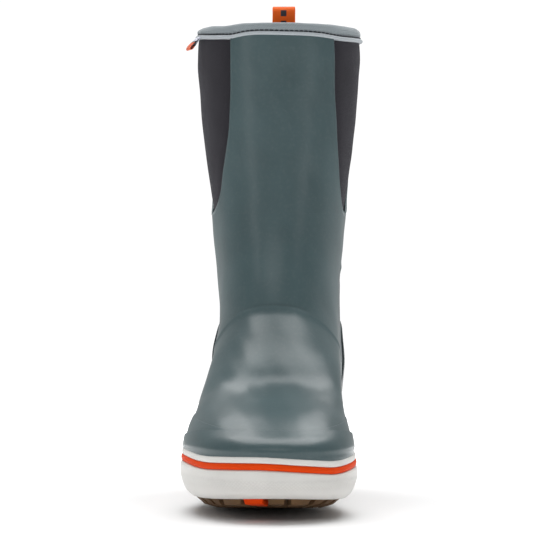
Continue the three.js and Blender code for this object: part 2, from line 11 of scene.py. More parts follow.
import bmesh
import bpy
import numpy as np
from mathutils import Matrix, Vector


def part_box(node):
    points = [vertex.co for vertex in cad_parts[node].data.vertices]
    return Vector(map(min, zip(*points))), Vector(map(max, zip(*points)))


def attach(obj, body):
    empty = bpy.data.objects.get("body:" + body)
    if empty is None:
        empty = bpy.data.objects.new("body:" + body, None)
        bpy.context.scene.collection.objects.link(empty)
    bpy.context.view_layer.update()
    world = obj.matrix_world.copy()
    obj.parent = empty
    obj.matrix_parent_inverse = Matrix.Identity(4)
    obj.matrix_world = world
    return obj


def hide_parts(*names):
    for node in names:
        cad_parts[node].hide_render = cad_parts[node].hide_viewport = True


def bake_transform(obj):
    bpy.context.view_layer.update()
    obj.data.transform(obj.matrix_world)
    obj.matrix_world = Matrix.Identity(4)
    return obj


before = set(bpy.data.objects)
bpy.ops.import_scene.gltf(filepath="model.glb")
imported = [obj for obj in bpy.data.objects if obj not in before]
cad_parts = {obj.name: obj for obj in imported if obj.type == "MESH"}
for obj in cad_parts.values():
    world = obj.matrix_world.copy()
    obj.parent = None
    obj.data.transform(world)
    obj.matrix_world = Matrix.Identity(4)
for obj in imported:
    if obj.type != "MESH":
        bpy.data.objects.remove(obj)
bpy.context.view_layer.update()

# ------------------------------------------------------------------ sizes, in millimetres
MM = 1000.0  # millimetres in a metre

# the foot
FEATHER_Z = 41.0  # the feather line, where the upper meets the sole
TOE_Y = -147.0
HEEL_Y = 146.0
INFLARE = 8.0  # how far the toe tip leans to the inner side
INFLARE_START_Y = -20.0
TOE_SPRING = 12.0  # how far the sole lifts at the toe tip
SPRING_START_Y = -25.0

# layers of the upper, as offsets from the rubber's outer face
RUBBER = 1.7
NEOPRENE_OUT = -2.0
NEOPRENE_IN = -5.9
LINING_OUT = -6.9
LINING = 0.8
OVERLAY_IN = 0.02
OVERLAY_OUT = 1.15
RAND_OUT = 1.75
BUMPER_OUT = 3.1

# the leg
SHELL_LOW = 20.5
SHELL_TOP = 317.0
SHELL_UNDER_PIPING = 1.1  # from the shell's top edge up to the piping's middle
ANKLE_Z = 135.0  # rows follow the front profile below this, and are even above it
U_Z = 197.5  # the gussets' lowest point
NEOPRENE_FLOOR = (22.3, 26.3)
LINING_FLOOR = (26.6, 27.4)
STITCHES = 112  # round the collar

# webbing and label
WEBBING_WIDTH = 16.5
WEBBING = 1.25
LOOP_HEIGHT = 22.0
TAIL_GAP = 1.9
TAIL_LOW = 292.0
LABEL_LENGTH = 10.5
LABEL_WIDTH = 11.0
LABEL_Z = 320.4
LABEL_TURN = math.radians(-67)

# the sole unit
STEP_BETWEEN_BANDS = 0.05
SIDEWALL_LOW = 11.5
FOXING_TOP = 41.8
LUG_ROOT = 10.6  # height of the blocks' roots, where the sole is flat
ROOT_SPRING = 0.6  # their share of the toe spring
ROOT_INSET = 4.6  # an edge block's outer face leans in, from this at its root to GROUND_INSET
GROUND_INSET = 11.6
LEAN_AT_TOE = 2.5  # the blocks at the toe tip lean less
EDGE_INSET = 8.0
LUG_DEPTH = 12.0
PITCH = 17.5
LUG_LENGTH = 13.8
LUG_TRIM = 1.2  # what each end of an edge block stands back from its share of the edge
HEEL_ROW = 71.0  # the heel's rows of blocks start this far from the heel's tip
INSERT_SPAN = (8.0, 24.4)
INNER_TOE = [(-5.9, 7.6), (10.6, 29.2)]
OUTER_TOE = [(25.2, 44.5)]

# colours
SHELL_COLOUR = (0.055, 0.092, 0.099)
# the shell's rubber darkened to about a third for the heel counter and kick-off ridge: painted shade for
# the heel behind the ankle
PAINTED_SHADE_COUNTER_COLOUR = (0.018, 0.032, 0.036)
NEOPRENE_COLOUR = (0.028, 0.0265, 0.032)
LINING_COLOUR = (0.03, 0.031, 0.036)
BINDING_COLOUR = (0.28, 0.32, 0.34)
PIPING_COLOUR = (0.45, 0.49, 0.52)
THREAD_COLOUR = (0.03, 0.035, 0.045)
WEBBING_COLOUR = (1.0, 0.135, 0.004)
DASH_COLOUR = (0.035, 0.035, 0.045)
ORANGE_THREAD_COLOUR = (0.5, 0.06, 0.008)
PALE_RUBBER = (0.76, 0.75, 0.72)
ORANGE_RUBBER = (0.76, 0.055, 0.0)
GUM_COLOUR = (0.14, 0.078, 0.036)
# the gum darkened to about a quarter for the outsole plate: painted shade in the deep gaps between the
# tread blocks
PAINTED_SHADE_GROOVE_COLOUR = (0.035, 0.022, 0.012)


# ------------------------------------------------------------------ sizes taken from the frame
def node_z(node):
    """A CAD node's lowest and highest point, in millimetres."""
    low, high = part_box(node)
    return low.z * MM, high.z * MM


SHANK_MIDDLE_Y = 30.0  # where the shank's middle is in the boot's own millimetres
shank_low, shank_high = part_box("shank")
SHIFT = np.array([
    (shank_low.x + shank_high.x) / 2 * MM,
    (shank_low.y + shank_high.y) / 2 * MM - SHANK_MIDDLE_Y,
    0.0,
])
COLLAR_Z = node_z("collar_binding")[1]
STRIPE_LOW = node_z("orange_stripe")[0]
FOXING_LOW = node_z("upper_foxing")[0]


def place(points):
    return (np.asarray(points, float) + SHIFT) / MM


# ------------------------------------------------------------------ curves
def through(knots):
    """A natural cubic spline through (x, value) knots, held constant past its ends."""
    xs = np.array([k[0] for k in knots], float)
    ys = np.array([k[1] for k in knots], float)
    n = len(xs)
    steps = np.diff(xs)
    slopes = np.diff(ys) / steps
    system = np.eye(n)
    right = np.zeros(n)
    for i in range(1, n - 1):
        system[i, i - 1] = steps[i - 1]
        system[i, i] = 2 * (steps[i - 1] + steps[i])
        system[i, i + 1] = steps[i]
        right[i] = 6 * (slopes[i] - slopes[i - 1])
    bend = np.linalg.solve(system, right)

    def value(at):
        x = np.clip(at, xs[0], xs[-1])
        i = np.clip(np.searchsorted(xs, x, side="right") - 1, 0, n - 2)
        b = (x - xs[i]) / steps[i]
        a = 1 - b
        curve = ((a**3 - a) * bend[i] + (b**3 - b) * bend[i + 1]) * steps[i] ** 2 / 6
        return a * ys[i] + b * ys[i + 1] + curve

    return value


def smooth_step(x, low, high):
    t = np.clip((np.asarray(x, float) - low) / (high - low), 0, 1)
    return t * t * (3 - 2 * t)


def unit(vectors):
    return vectors / np.linalg.norm(vectors, axis=-1, keepdims=True)


def run_along(points):
    """The distance run from a line's first point to each of its points."""
    return np.concatenate([[0], np.cumsum(np.linalg.norm(np.diff(points, axis=0), axis=1))])


def smooth_path(points, count):
    """count points along a smooth curve through the given ones, in any number of dimensions."""
    points = np.asarray(points, float)
    run = run_along(points)
    at = np.linspace(0, run[-1], count)
    return np.stack([through(list(zip(run, points[:, k])))(at) for k in range(points.shape[1])], axis=1)


# ------------------------------------------------------------------ the upper's surface
# Each curve gives a measure of the outline at every height: (z, value) knots.
front_y = through([
    (41, TOE_Y), (44, -146.7), (47, -145.2), (50, -142.2), (53, -137.6), (57, -130), (61, -121.6),
    (64, -114.6), (67, -106.4), (70, -96.5), (73, -86), (77, -73), (82, -62.5), (92, -51.5), (104, -39.5),
    (116, -27.5), (125, -18.5), (131, -13), (138, -9), (148, -5), (162, -1), (180, 2.5), (205, 4.5),
    (250, 4.5), (328, 0),
])
back_y = through([
    (41, HEEL_Y), (60, 148.5), (80, 147), (105, 139), (130, 131), (160, 128.5), (200, 130), (260, 133.5),
    (328, 136),
])
LEG = [
    (150, 43), (171, 45.1), (205, 48.1), (222, 50.4), (239, 52.7), (262, 55.4), (285, 57.3), (303, 58.5),
    (317, 58.3), (328, 56.9),
]  # half widths that all sides share
outer_half = through([
    (41, 55.5), (50, 54.2), (57, 52.4), (64, 49.6), (73, 46.6), (82, 44.2), (92, 42), (102, 40.6),
    (115, 40), (128, 40.6), (138, 41.7), *LEG,
])
inner_half = through([
    (41, 52.6), (50, 51.4), (57, 50), (64, 48.2), (73, 46.6), (84, 45.4), (100, 44), (135, 42.3), *LEG,
])
outer_heel = through([
    (41, 39.5), (60, 42.5), (80, 46.4), (94, 47.5), (105, 46.4), (114, 44.4), (124, 42.4), (136, 42), *LEG,
])
inner_heel = through([
    (41, 39.5), (60, 41.6), (80, 44), (95, 44.8), (108, 44), (122, 42.8), (136, 42.3), *LEG,
])
outer_ball_y = through([
    (41, -50), (60, -44), (80, -24), (100, 6), (120, 40), (140, 60), (165, 66), (328, 67),
])
inner_ball_y = through([
    (41, -76), (60, -66), (80, -38), (100, 0), (120, 38), (140, 60), (165, 66), (328, 67),
])
heel_ball_y = through([(41, 98), (80, 96), (105, 88), (125, 78), (145, 69), (165, 66.5), (328, 67.5)])
outer_waist = through([(41, 3), (60, 2), (85, 0.4), (110, 0), (328, 0)])
inner_waist = through([(41, 8), (60, 5.5), (85, 1.5), (110, 0), (328, 0)])
bluntness = through([(41, 2.4), (60, 2.3), (90, 2.05), (115, 2), (328, 2)])


def half_width(inner, y, z):
    """Half the upper's width at y, on the inner side where inner is true."""
    ball = np.where(inner, inner_ball_y(z), outer_ball_y(z))
    wide = np.where(inner, inner_half(z), outer_half(z))
    heel_wide = np.where(inner, inner_heel(z), outer_heel(z))
    waist = np.where(inner, inner_waist(z), outer_waist(z))
    heel = heel_ball_y(z)
    ahead = np.clip((ball - y) / (ball - front_y(z)), 0, 1)
    behind = np.clip((y - heel) / (back_y(z) - heel), 0, 1)
    t = np.clip((y - ball) / (heel - ball), 0, 1)
    drawn_in = waist * 16 * (t * (1 - t)) ** 2  # the whole waist halfway along
    middle = wide + (heel_wide - wide) * t * t * (3 - 2 * t) - drawn_in
    at_toe = wide * np.sqrt(1 - ahead ** bluntness(z))
    at_heel = heel_wide * np.sqrt(1 - behind**2)
    return np.where(y < ball, at_toe, np.where(y > heel, at_heel, middle))


def toe_lean(y):
    return INFLARE * (np.maximum(0, INFLARE_START_Y - y) / (INFLARE_START_Y - TOE_Y)) ** 2


def surface(turn, z):
    """Points on the rubber's outer face; below the feather line it goes straight down."""
    turn, z = np.broadcast_arrays(np.asarray(turn, float), np.asarray(z, float))
    level = np.maximum(z, FEATHER_Z)
    front = front_y(level)
    y = front + (back_y(level) - front) * (1 - np.cos(turn)) / 2
    side = np.where(np.sin(turn) >= 0, 1.0, -1.0)
    x = toe_lean(y) + side * half_width(side > 0, y, level)
    return np.stack([x, y, z], axis=-1)


def outward(turn, z):
    """The surface's unit normal."""
    step = 0.02
    around = surface(turn + step, z) - surface(turn - step, z)
    up = surface(turn, z + 1) - surface(turn, z - 1)
    return unit(np.cross(around, up))


def turn_at(y, z):
    """The turn, from 0 to pi, at which the surface has this y at height z."""
    front = front_y(z)
    return np.arccos(np.clip(1 - 2 * (y - front) / (back_y(z) - front), -1, 1))


def plan_ring(turns, offset, height):
    """A ring in the sole unit: the feather line offset sideways, at a height that may depend on y."""
    points = surface(turns, FEATHER_Z)
    out = outward(turns, FEATHER_Z - 5)
    x = points[:, 0] + out[:, 0] * offset
    y = points[:, 1] + out[:, 1] * offset
    return np.stack([x, y, height(points[:, 1]) if callable(height) else np.full(len(x), height)], axis=1)


def spring(y, power=1.4):
    """The sole's lift at y; a higher power curls up later."""
    return TOE_SPRING * (np.maximum(0, SPRING_START_Y - y) / (SPRING_START_Y - TOE_Y)) ** power


def level(z, share, power=1.4):
    """A height as a function of y: z and a share of the sole's lift."""
    return lambda y: z + share * spring(y, power)


def even_turns(count, z=FEATHER_Z, start=0.0):
    """Turns that space points evenly along the outline at height z, all the way round."""
    fine = np.linspace(0, 2 * math.pi, 2881)
    run = run_along(surface(fine, z))
    at = (start + np.arange(count) / count) * run[-1]
    return np.interp(at, run, fine)


# ------------------------------------------------------------------ meshes
def grid_corners(rows, columns, wrap_columns=False, wrap_rows=False):
    """The (row, column) of each quad's four corners in a grid, counted without wrapping."""
    r = np.arange(rows if wrap_rows else rows - 1)
    c = np.arange(columns if wrap_columns else columns - 1)
    r, c = (m.ravel() for m in np.meshgrid(r, c, indexing="ij"))
    return np.stack([r, c, r, c + 1, r + 1, c + 1, r + 1, c], axis=1).reshape(-1, 4, 2)


def grid_faces(rows, columns, wrap_columns=False, wrap_rows=False):
    """A grid's quads as lists of vertex numbers."""
    corners = grid_corners(rows, columns, wrap_columns, wrap_rows)
    return (corners[..., 0] % rows * columns + corners[..., 1] % columns).tolist()


def tube(rings):
    """The vertices and faces of a tube with closed ends, from its rings of points."""
    rings = np.asarray(rings, float)
    count, sides = rings.shape[:2]
    ends = [list(range(sides))[::-1], list(range((count - 1) * sides, count * sides))]
    return rings.reshape(-1, 3), grid_faces(count, sides, True) + ends


def lengths(points, axis, wrap):
    """Mean distance run along one axis of a grid of points, one longer than the grid where it wraps."""
    if wrap:
        points = np.concatenate([points, np.take(points, [0], axis=axis)], axis=axis)
    steps = np.linalg.norm(np.diff(points, axis=axis), axis=-1)
    return np.concatenate([[0], np.cumsum(steps.mean(axis=1 - axis))])


def make_object(name, points, faces, uvs=None):
    """A smooth mesh object from points in the boot's millimetres. uvs has a pair in metres for each corner
    of each face."""
    mesh = bpy.data.meshes.new(name)
    mesh.from_pydata(place(points).tolist(), [], faces)
    if uvs is not None:
        mesh.uv_layers.new(name="Cloth").data.foreach_set("uv", np.asarray(uvs, np.float32).ravel())
    mesh.polygons.foreach_set("use_smooth", np.ones(len(mesh.polygons), bool))
    mesh.update()
    made = bpy.data.objects.new(name, mesh)
    bpy.context.scene.collection.objects.link(made)
    return made


def from_grid(name, grid, wrap_columns=False, wrap_rows=False, cap=False):
    """A mesh from a grid of points, with texture coordinates in metres along its columns and rows."""
    grid = np.asarray(grid, float)
    rows, columns = grid.shape[:2]
    corners = grid_corners(rows, columns, wrap_columns, wrap_rows)
    faces = grid_faces(rows, columns, wrap_columns, wrap_rows)
    u = lengths(grid, 1, wrap_columns) / MM
    v = lengths(grid, 0, wrap_rows) / MM
    uvs = np.stack([u[corners[..., 1]], v[corners[..., 0]]], axis=-1).reshape(-1, 2).tolist()
    if cap:
        faces += [list(range(columns))[::-1], list(range((rows - 1) * columns, rows * columns))]
        uvs += [[u[0], v[0]]] * 2 * columns
    made = make_object(name, grid.reshape(-1, 3), faces, uvs)
    fix_normals(made)
    return made


def fix_normals(made):
    """Turns a mesh's faces outwards."""
    work = bmesh.new()
    work.from_mesh(made.data)
    bmesh.ops.recalc_face_normals(work, faces=work.faces)
    work.to_mesh(made.data)
    work.free()
    made.data.update()


def set_cloth(made, across, along):
    """Texture coordinates of a grid mesh, from one value for each column and one for each row."""
    data = made.data.uv_layers["Cloth"].data
    for polygon in made.data.polygons:
        for corner in polygon.loop_indices:
            row, column = divmod(made.data.loops[corner].vertex_index, len(across))
            data[corner].uv = (across[column] / MM, along[row] / MM)


def sweep(name, path, sections, across):
    """Sweeps one closed section per path point. sections is (points, corners, 2): sideways and outward.
    across gives the sideways direction at each point; outward is at right angles to it and to the path."""
    ahead = unit(np.gradient(path, axis=0))
    across = unit(across - (across * ahead).sum(axis=1, keepdims=True) * ahead)
    up = np.cross(ahead, across)
    grid = path[:, None] + sections[..., :1] * across[:, None] + sections[..., 1:] * up[:, None]
    return from_grid(name, grid, wrap_columns=True, cap=True)


def capsule(points, radius, sides=6, rings=3):
    """A round-ended thread along a few points, as (vertices, faces)."""
    points = np.asarray(points, float)
    ahead = unit(np.gradient(points, axis=0))
    steep = np.abs(ahead[:, 2:3]) > 0.8
    side = unit(np.cross(ahead, np.where(steep, [[1.0, 0, 0]], [[0, 0, 1.0]])))
    up = np.cross(ahead, side)
    # stations along the thread: the nearest point, how far past it, and the radius there
    cap = [(math.cos(a), max(math.sin(a), 0.05)) for a in (math.pi / 2 * k / rings for k in range(rings))]
    stations = [(0, -radius * slide, radius * wide) for slide, wide in cap]
    stations += [(i, 0.0, radius) for i in range(len(points))]
    stations += [(len(points) - 1, radius * slide, radius * wide) for slide, wide in cap[::-1]]
    angles = np.arange(sides) * 2 * math.pi / sides
    grid = []
    for i, slide, r in stations:
        centre = points[i] + ahead[i] * slide
        grid.append(centre + r * (np.cos(angles)[:, None] * side[i] + np.sin(angles)[:, None] * up[i]))
    return tube(grid)


def many(name, solids):
    """One object from a list of (vertices, faces)."""
    points, faces, base = [], [], 0
    for vertices, its_faces in solids:
        points.append(vertices)
        faces += [[i + base for i in f] for f in its_faces]
        base += len(vertices)
    made = make_object(name, np.concatenate(points), faces)
    fix_normals(made)
    return made


# ------------------------------------------------------------------ materials
class Nodes:
    """A small helper that writes node trees."""

    def __init__(self, name):
        self.material = bpy.data.materials.new(name)
        self.material.use_nodes = True
        self.tree = self.material.node_tree
        self.shader = self.tree.nodes["Principled BSDF"]

    def node(self, kind, **settings):
        made = self.tree.nodes.new(kind)
        inputs = settings.pop("inputs", {})
        for key, value in settings.items():
            setattr(made, key, value)
        for key, value in inputs.items():
            if isinstance(value, bpy.types.NodeSocket):
                self.tree.links.new(value, made.inputs[key])
            else:
                made.inputs[key].default_value = value
        return made

    def link(self, source, target):
        self.tree.links.new(source, target)

    def set(self, **values):
        for key, value in values.items():
            self.shader.inputs[key.replace("_", " ")].default_value = value

    def position(self):
        return self.node("ShaderNodeTexCoord").outputs["Object"]

    def cloth(self):
        return self.node("ShaderNodeUVMap", uv_map="Cloth").outputs["UV"]

    def noise(self, scale, detail=3.0, roughness=0.5):
        """Noise in the object's own place, with this many features to the metre."""
        inputs = {"Scale": scale, "Detail": detail, "Roughness": roughness, "Vector": self.position()}
        return self.node("ShaderNodeTexNoise", inputs=inputs).outputs["Fac"]

    def math(self, operation, a, b=0.0, c=0.0):
        made = self.node("ShaderNodeMath", operation=operation)
        for k, value in enumerate((a, b, c)):
            if isinstance(value, bpy.types.NodeSocket):
                self.link(value, made.inputs[k])
            else:
                made.inputs[k].default_value = value
        return made.outputs[0]

    def spread(self, value, low, high, to_low=0.0, to_high=1.0):
        """Maps a value from one range to another, clamped."""
        made = self.node("ShaderNodeMapRange", clamp=True, inputs={
            "Value": value, "From Min": low, "From Max": high, "To Min": to_low, "To Max": to_high,
        })
        return made.outputs["Result"]

    def mix(self, share, a, b):
        """A colour a share of the way from a to b."""
        made = self.node("ShaderNodeMix", data_type="RGBA", clamp_factor=True)
        for key, value in (("Factor", share), ("A", a), ("B", b)):
            socket = next(s for s in made.inputs if s.name == key and s.enabled)
            if isinstance(value, bpy.types.NodeSocket):
                self.link(value, socket)
            elif key == "Factor":
                socket.default_value = value
            else:
                socket.default_value = (*value, 1.0)
        return next(s for s in made.outputs if s.name == "Result" and s.enabled)

    def colour(self, source):
        self.link(source, self.shader.inputs["Base Color"])

    def roughness(self, source):
        self.link(source, self.shader.inputs["Roughness"])

    def bump(self, height, distance, strength=1.0):
        """Adds a bump of this depth in metres, on top of any bump made before."""
        values = {"Height": height, "Distance": distance, "Strength": strength}
        made = self.node("ShaderNodeBump", inputs=values)
        last = self.shader.inputs["Normal"]
        if last.links:
            self.link(last.links[0].from_socket, made.inputs["Normal"])
        self.link(made.outputs["Normal"], last)

    def wave(self, along, pitch):
        """A sine along a coordinate, one wave every pitch metres."""
        return self.math("SINE", self.math("MULTIPLY", along, 2 * math.pi / pitch))

    def shades(self, height, low, high, colour, dark, light):
        """A colour that goes from dark to light, as factors, over a range of height."""
        return self.mix(self.spread(height, low, high), scaled(colour, dark), scaled(colour, light))


def scaled(colour, factor):
    return tuple(min(1.0, c * factor) for c in colour)


def rubber_material(name, colour, roughness=(0.27, 0.38), mottle=0.12, grain=0.00003, dust=0.05):
    """Moulded rubber: slow mottling, a fine orange-peel skin, roughness that wanders, and a little dust."""
    m = Nodes(name)
    base = m.shades(m.noise(22.0, 4.0), 0.3, 0.7, colour, 1 - mottle, 1 + mottle)
    dusty = m.math("MULTIPLY", m.spread(m.noise(420.0, 2.0), 0.5, 0.8), dust)
    m.colour(m.mix(dusty, base, (0.3, 0.32, 0.32)))
    m.roughness(m.spread(m.noise(28.0, 1.0), 0.1, 0.9, *roughness))
    m.set(IOR=1.5)
    m.bump(m.noise(1300.0, 2.0), grain)
    m.bump(m.noise(90.0, 1.0), 0.00008)
    return m.material


def knit_height(m, pitch, turn=0.0):
    """Height of a fine jersey knit: rows of small V stitches, one every pitch metres."""
    uv = m.cloth()
    if turn:
        uv = m.node("ShaderNodeVectorRotate", inputs={"Vector": uv, "Angle": turn}).outputs["Vector"]
    split = m.node("ShaderNodeSeparateXYZ", inputs={"Vector": uv})
    u = m.math("MULTIPLY", split.outputs["X"], 2 * math.pi / pitch)
    v = m.math("MULTIPLY", split.outputs["Y"], 2 * math.pi / (pitch * 0.8))
    column = m.math("ABSOLUTE", m.math("SINE", m.math("MULTIPLY", u, 0.5)))
    slant = m.math("MULTIPLY", m.math("COSINE", u), 1.6)
    row = m.math("SINE", m.math("ADD", v, slant))
    return m.math("ADD", m.math("MULTIPLY", column, 0.6), m.math("MULTIPLY", row, 0.35))


def neoprene_material():
    """The sock's fine knit face, with a little lint."""
    m = Nodes("neoprene_knit")
    colour = NEOPRENE_COLOUR
    height = knit_height(m, 0.0011)
    base = m.shades(height, -0.2, 0.9, colour, 0.7, 1.35)
    base = m.mix(m.spread(m.noise(35.0, 4.0), 0.35, 0.7), base, scaled(colour, 0.85))
    lint = m.spread(m.noise(900.0, 2.0), 0.72, 0.8)
    base = m.mix(m.math("MULTIPLY", lint, 0.2), base, (0.3, 0.3, 0.32))
    m.colour(base)
    m.set(Roughness=0.9, Sheen_Weight=0.12, Sheen_Roughness=0.45, Specular_IOR_Level=0.15)
    m.shader.inputs["Sheen Tint"].default_value = (0.6, 0.6, 0.66, 1.0)
    m.bump(height, 0.00012)
    m.bump(m.noise(50.0, 3.0), 0.0005, 0.5)
    return m.material


def knit_tape_material(name, colour, turn=0.9):
    """Knit tape, whose stitches are turned by an angle to its length."""
    m = Nodes(name)
    height = knit_height(m, 0.00125, turn)
    base = m.shades(height, -0.2, 0.9, colour, 0.72, 1.18)
    base = m.mix(m.spread(m.noise(60.0, 4.0), 0.3, 0.75), base, scaled(colour, 0.92))
    m.colour(base)
    m.set(Roughness=0.82, Sheen_Weight=0.3, Sheen_Roughness=0.4, Specular_IOR_Level=0.3)
    m.bump(height, 0.00014)
    m.bump(m.noise(140.0, 3.0), 0.0003, 0.6)
    return m.material


def lining_material():
    """A coarser, fuzzy knit."""
    m = Nodes("lining_knit")
    colour = LINING_COLOUR
    height = knit_height(m, 0.0016)
    fuzz = m.noise(1500.0, 3.0)
    base = m.shades(height, -0.2, 0.9, colour, 0.7, 1.5)
    base = m.mix(m.math("MULTIPLY", m.spread(fuzz, 0.5, 0.8), 0.4), base, scaled(colour, 2.4))
    m.colour(base)
    m.set(Roughness=0.95, Sheen_Weight=0.4, Sheen_Roughness=0.5, Specular_IOR_Level=0.15)
    m.bump(height, 0.00015)
    m.bump(fuzz, 0.0001)
    return m.material


def webbing_material():
    """Woven nylon webbing with a row of plain dark dashes along its middle."""
    m = Nodes("orange_webbing")
    colour = WEBBING_COLOUR
    dash_half_width, dash_pitch = 0.0021, 0.0076
    split = m.node("ShaderNodeSeparateXYZ", inputs={"Vector": m.cloth()})
    across, along = split.outputs["X"], split.outputs["Y"]
    warp = m.wave(across, 0.0011)
    weft = m.wave(along, 0.0009)
    height = m.math("MULTIPLY", m.math("MULTIPLY", warp, weft), 0.5)
    height = m.math("ADD", height, m.math("MULTIPLY", m.math("ABSOLUTE", warp), 0.4))
    base = m.shades(height, -0.4, 0.8, colour, 0.82, 1.1)
    base = m.mix(m.spread(m.noise(300.0, 3.0), 0.4, 0.7), base, scaled(colour, 0.92))
    middle = m.math("COMPARE", across, WEBBING_WIDTH / 2 / MM, dash_half_width)
    step = m.math("FRACT", m.math("ADD", m.math("DIVIDE", along, dash_pitch), 0.25))
    dash = m.math("MULTIPLY", middle, m.math("COMPARE", step, 0.5, 0.29))
    m.colour(m.mix(dash, base, DASH_COLOUR))
    m.set(Roughness=0.6, Sheen_Weight=0.05, Sheen_Roughness=0.4, Specular_IOR_Level=0.25)
    m.bump(height, 0.00016)
    return m.material


def thread_material(name, colour):
    """Twisted sewing thread."""
    m = Nodes(name)
    twist = m.node("ShaderNodeTexWave", bands_direction="DIAGONAL", inputs={
        "Scale": 700.0, "Distortion": 1.0, "Vector": m.position(),
    }).outputs["Fac"]
    m.colour(m.mix(twist, scaled(colour, 0.6), scaled(colour, 1.3)))
    m.set(Roughness=0.6, Sheen_Weight=0.2)
    m.bump(twist, 0.00008)
    return m.material


def diamond_net(m, pitch):
    """Lines of a moulded diamond grain, one every pitch metres, in a band round the toe."""
    cloth = m.node("ShaderNodeSeparateXYZ", inputs={"Vector": m.cloth()})
    u, v = cloth.outputs["X"], cloth.outputs["Y"]
    lines = []
    for operation in ("ADD", "SUBTRACT"):
        slant = m.math("MULTIPLY", m.math(operation, u, v), 2 * math.pi / pitch)
        lines.append(m.math("COSINE", slant))
    spot = m.node("ShaderNodeSeparateXYZ", inputs={"Vector": m.position()})
    above = m.spread(spot.outputs["Z"], 0.0185, 0.0215)
    below = m.spread(spot.outputs["Z"], 0.0285, 0.0265)
    at_toe = m.spread(spot.outputs["Y"], -0.08, -0.105)
    mask = m.math("MULTIPLY", m.math("MULTIPLY", above, below), at_toe)
    return m.math("MULTIPLY", m.spread(m.math("MAXIMUM", *lines), 0.55, 1.0), mask)


def sidewall_material(name, colour, pattern):
    """Pale foxing rubber with faint scuffs, and a fine diamond grain where pattern is true."""
    m = Nodes(name)
    base = m.shades(m.noise(30.0, 5.0), 0.3, 0.75, colour, 1.03, 0.94)
    scuff = m.spread(m.noise(240.0, 6.0, roughness=0.7), 0.68, 0.8)
    base = m.mix(m.math("MULTIPLY", scuff, 0.12), base, (0.42, 0.4, 0.36))
    m.roughness(m.spread(m.noise(80.0, 4.0), 0.3, 0.7, 0.38, 0.55))
    if pattern:
        net = diamond_net(m, 0.0026)
        base = m.mix(m.math("MULTIPLY", net, 0.1), base, (0.3, 0.3, 0.29))
        m.bump(net, 0.00014)
    m.colour(base)
    m.bump(m.noise(900.0, 2.0), 0.00003)
    return m.material


def gum_material(name, colour):
    """Matt, gritty gum rubber."""
    m = Nodes(name)
    base = m.shades(m.noise(40.0, 5.0), 0.3, 0.7, colour, 0.82, 1.2)
    grit = m.spread(m.noise(700.0, 4.0), 0.62, 0.75)
    base = m.mix(m.math("MULTIPLY", grit, 0.35), base, (0.06, 0.045, 0.03))
    m.colour(base)
    m.roughness(m.spread(m.noise(120.0, 3.0), 0.3, 0.7, 0.55, 0.8))
    m.set(Specular_IOR_Level=0.25)
    m.bump(m.noise(500.0, 4.0), 0.00008)
    return m.material


def plain_material(name, colour, roughness, scale, depth, contrast=0.15, metallic=0.0):
    """For pieces held inside: a base colour with grain at one scale."""
    m = Nodes(name)
    grain = m.noise(scale, 5.0)
    m.colour(m.shades(grain, 0.3, 0.7, colour, 1 - contrast, 1 + contrast))
    m.roughness(m.spread(grain, 0.3, 0.7, roughness * 0.85, min(1.0, roughness * 1.15)))
    m.set(Metallic=metallic)
    m.bump(grain, depth)
    return m.material


def label_material():
    """Woven ribbon: pale at the root, a dark line, then orange to the fold."""
    m = Nodes("label_ribbon")
    split = m.node("ShaderNodeSeparateXYZ", inputs={"Vector": m.cloth()})
    along = split.outputs["Y"]
    length = LABEL_LENGTH / MM
    from_fold = m.math("ABSOLUTE", m.math("SUBTRACT", along, length))
    orange = m.math("LESS_THAN", from_fold, length * 0.52)
    line = m.math("COMPARE", from_fold, length * 0.56, length * 0.07)
    height = m.math("MULTIPLY", m.wave(split.outputs["X"], 0.0006), m.wave(along, 0.0006))
    base = m.mix(orange, (0.7, 0.72, 0.82), (0.8, 0.11, 0.015))
    base = m.mix(line, base, (0.03, 0.03, 0.035))
    base = m.mix(m.spread(height, -1.0, 1.0, 0.0, 0.25), base, (0.05, 0.05, 0.05))
    m.colour(base)
    m.set(Roughness=0.7, Sheen_Weight=0.15)
    m.bump(height, 0.00006)
    return m.material


# ------------------------------------------------------------------ finishing a piece
def shell(name, outer, inner, faces):
    """A closed wall between two matching sets of points, with a rim wherever the faces end."""
    count = len(outer)
    edges = {(a, b) for f in faces for a, b in zip(f, [*f[1:], f[0]])}
    rim = [[b, a, a + count, b + count] for a, b in edges if (b, a) not in edges]
    inside = [[i + count for i in f[::-1]] for f in faces]
    made = make_object(name, np.concatenate([outer, inner]), faces + inside + sorted(rim))
    fix_normals(made)
    return made


def overlay(name, turns, heights, outer, inner, wrap=False):
    """An overlay of the upper: a grid of turns and heights between two offsets."""
    outside, inside = (upper(turns, heights, offset).reshape(-1, 3) for offset in (outer, inner))
    return shell(name, outside, inside, grid_faces(*turns.shape, wrap))


def round_edges(made, width):
    bevel = made.modifiers.new("rounded edges", "BEVEL")
    bevel.width = width / MM
    bevel.segments = 3
    bevel.limit_method = "ANGLE"
    bevel.angle_limit = math.radians(38)
    bevel.harden_normals = True
    return made


def piece(made, material, nodes=(), body="boot"):
    """Gives a piece its material and its body, and hides the CAD nodes that it stands for."""
    made.data.materials.clear()
    made.data.materials.append(material)
    if body:
        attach(made, body)
    if nodes:
        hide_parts(*nodes)
    return made


# ------------------------------------------------------------------ the rubber shell
rng = np.random.default_rng(7)
WAVES = [
    (rng.normal(size=3) * 2 * math.pi / rng.uniform(30, 90), rng.uniform(0, 2 * math.pi)) for _ in range(14)
]
RIPPLE = 0.07  # millimetres for each wave
COLUMNS = 160
HALF_FRONT = 36  # columns on each side of the front, up to the gussets' lowest point
COLUMN = 2 * math.pi / COLUMNS


def ripple(points):
    """Slow unevenness of moulded rubber, in millimetres."""
    total = sum(np.sin(points @ direction + phase) for direction, phase in WAVES)
    fade = smooth_step(points[..., 2], 44, 60) * (1 - smooth_step(points[..., 2], 300, 316))
    return RIPPLE * total * fade


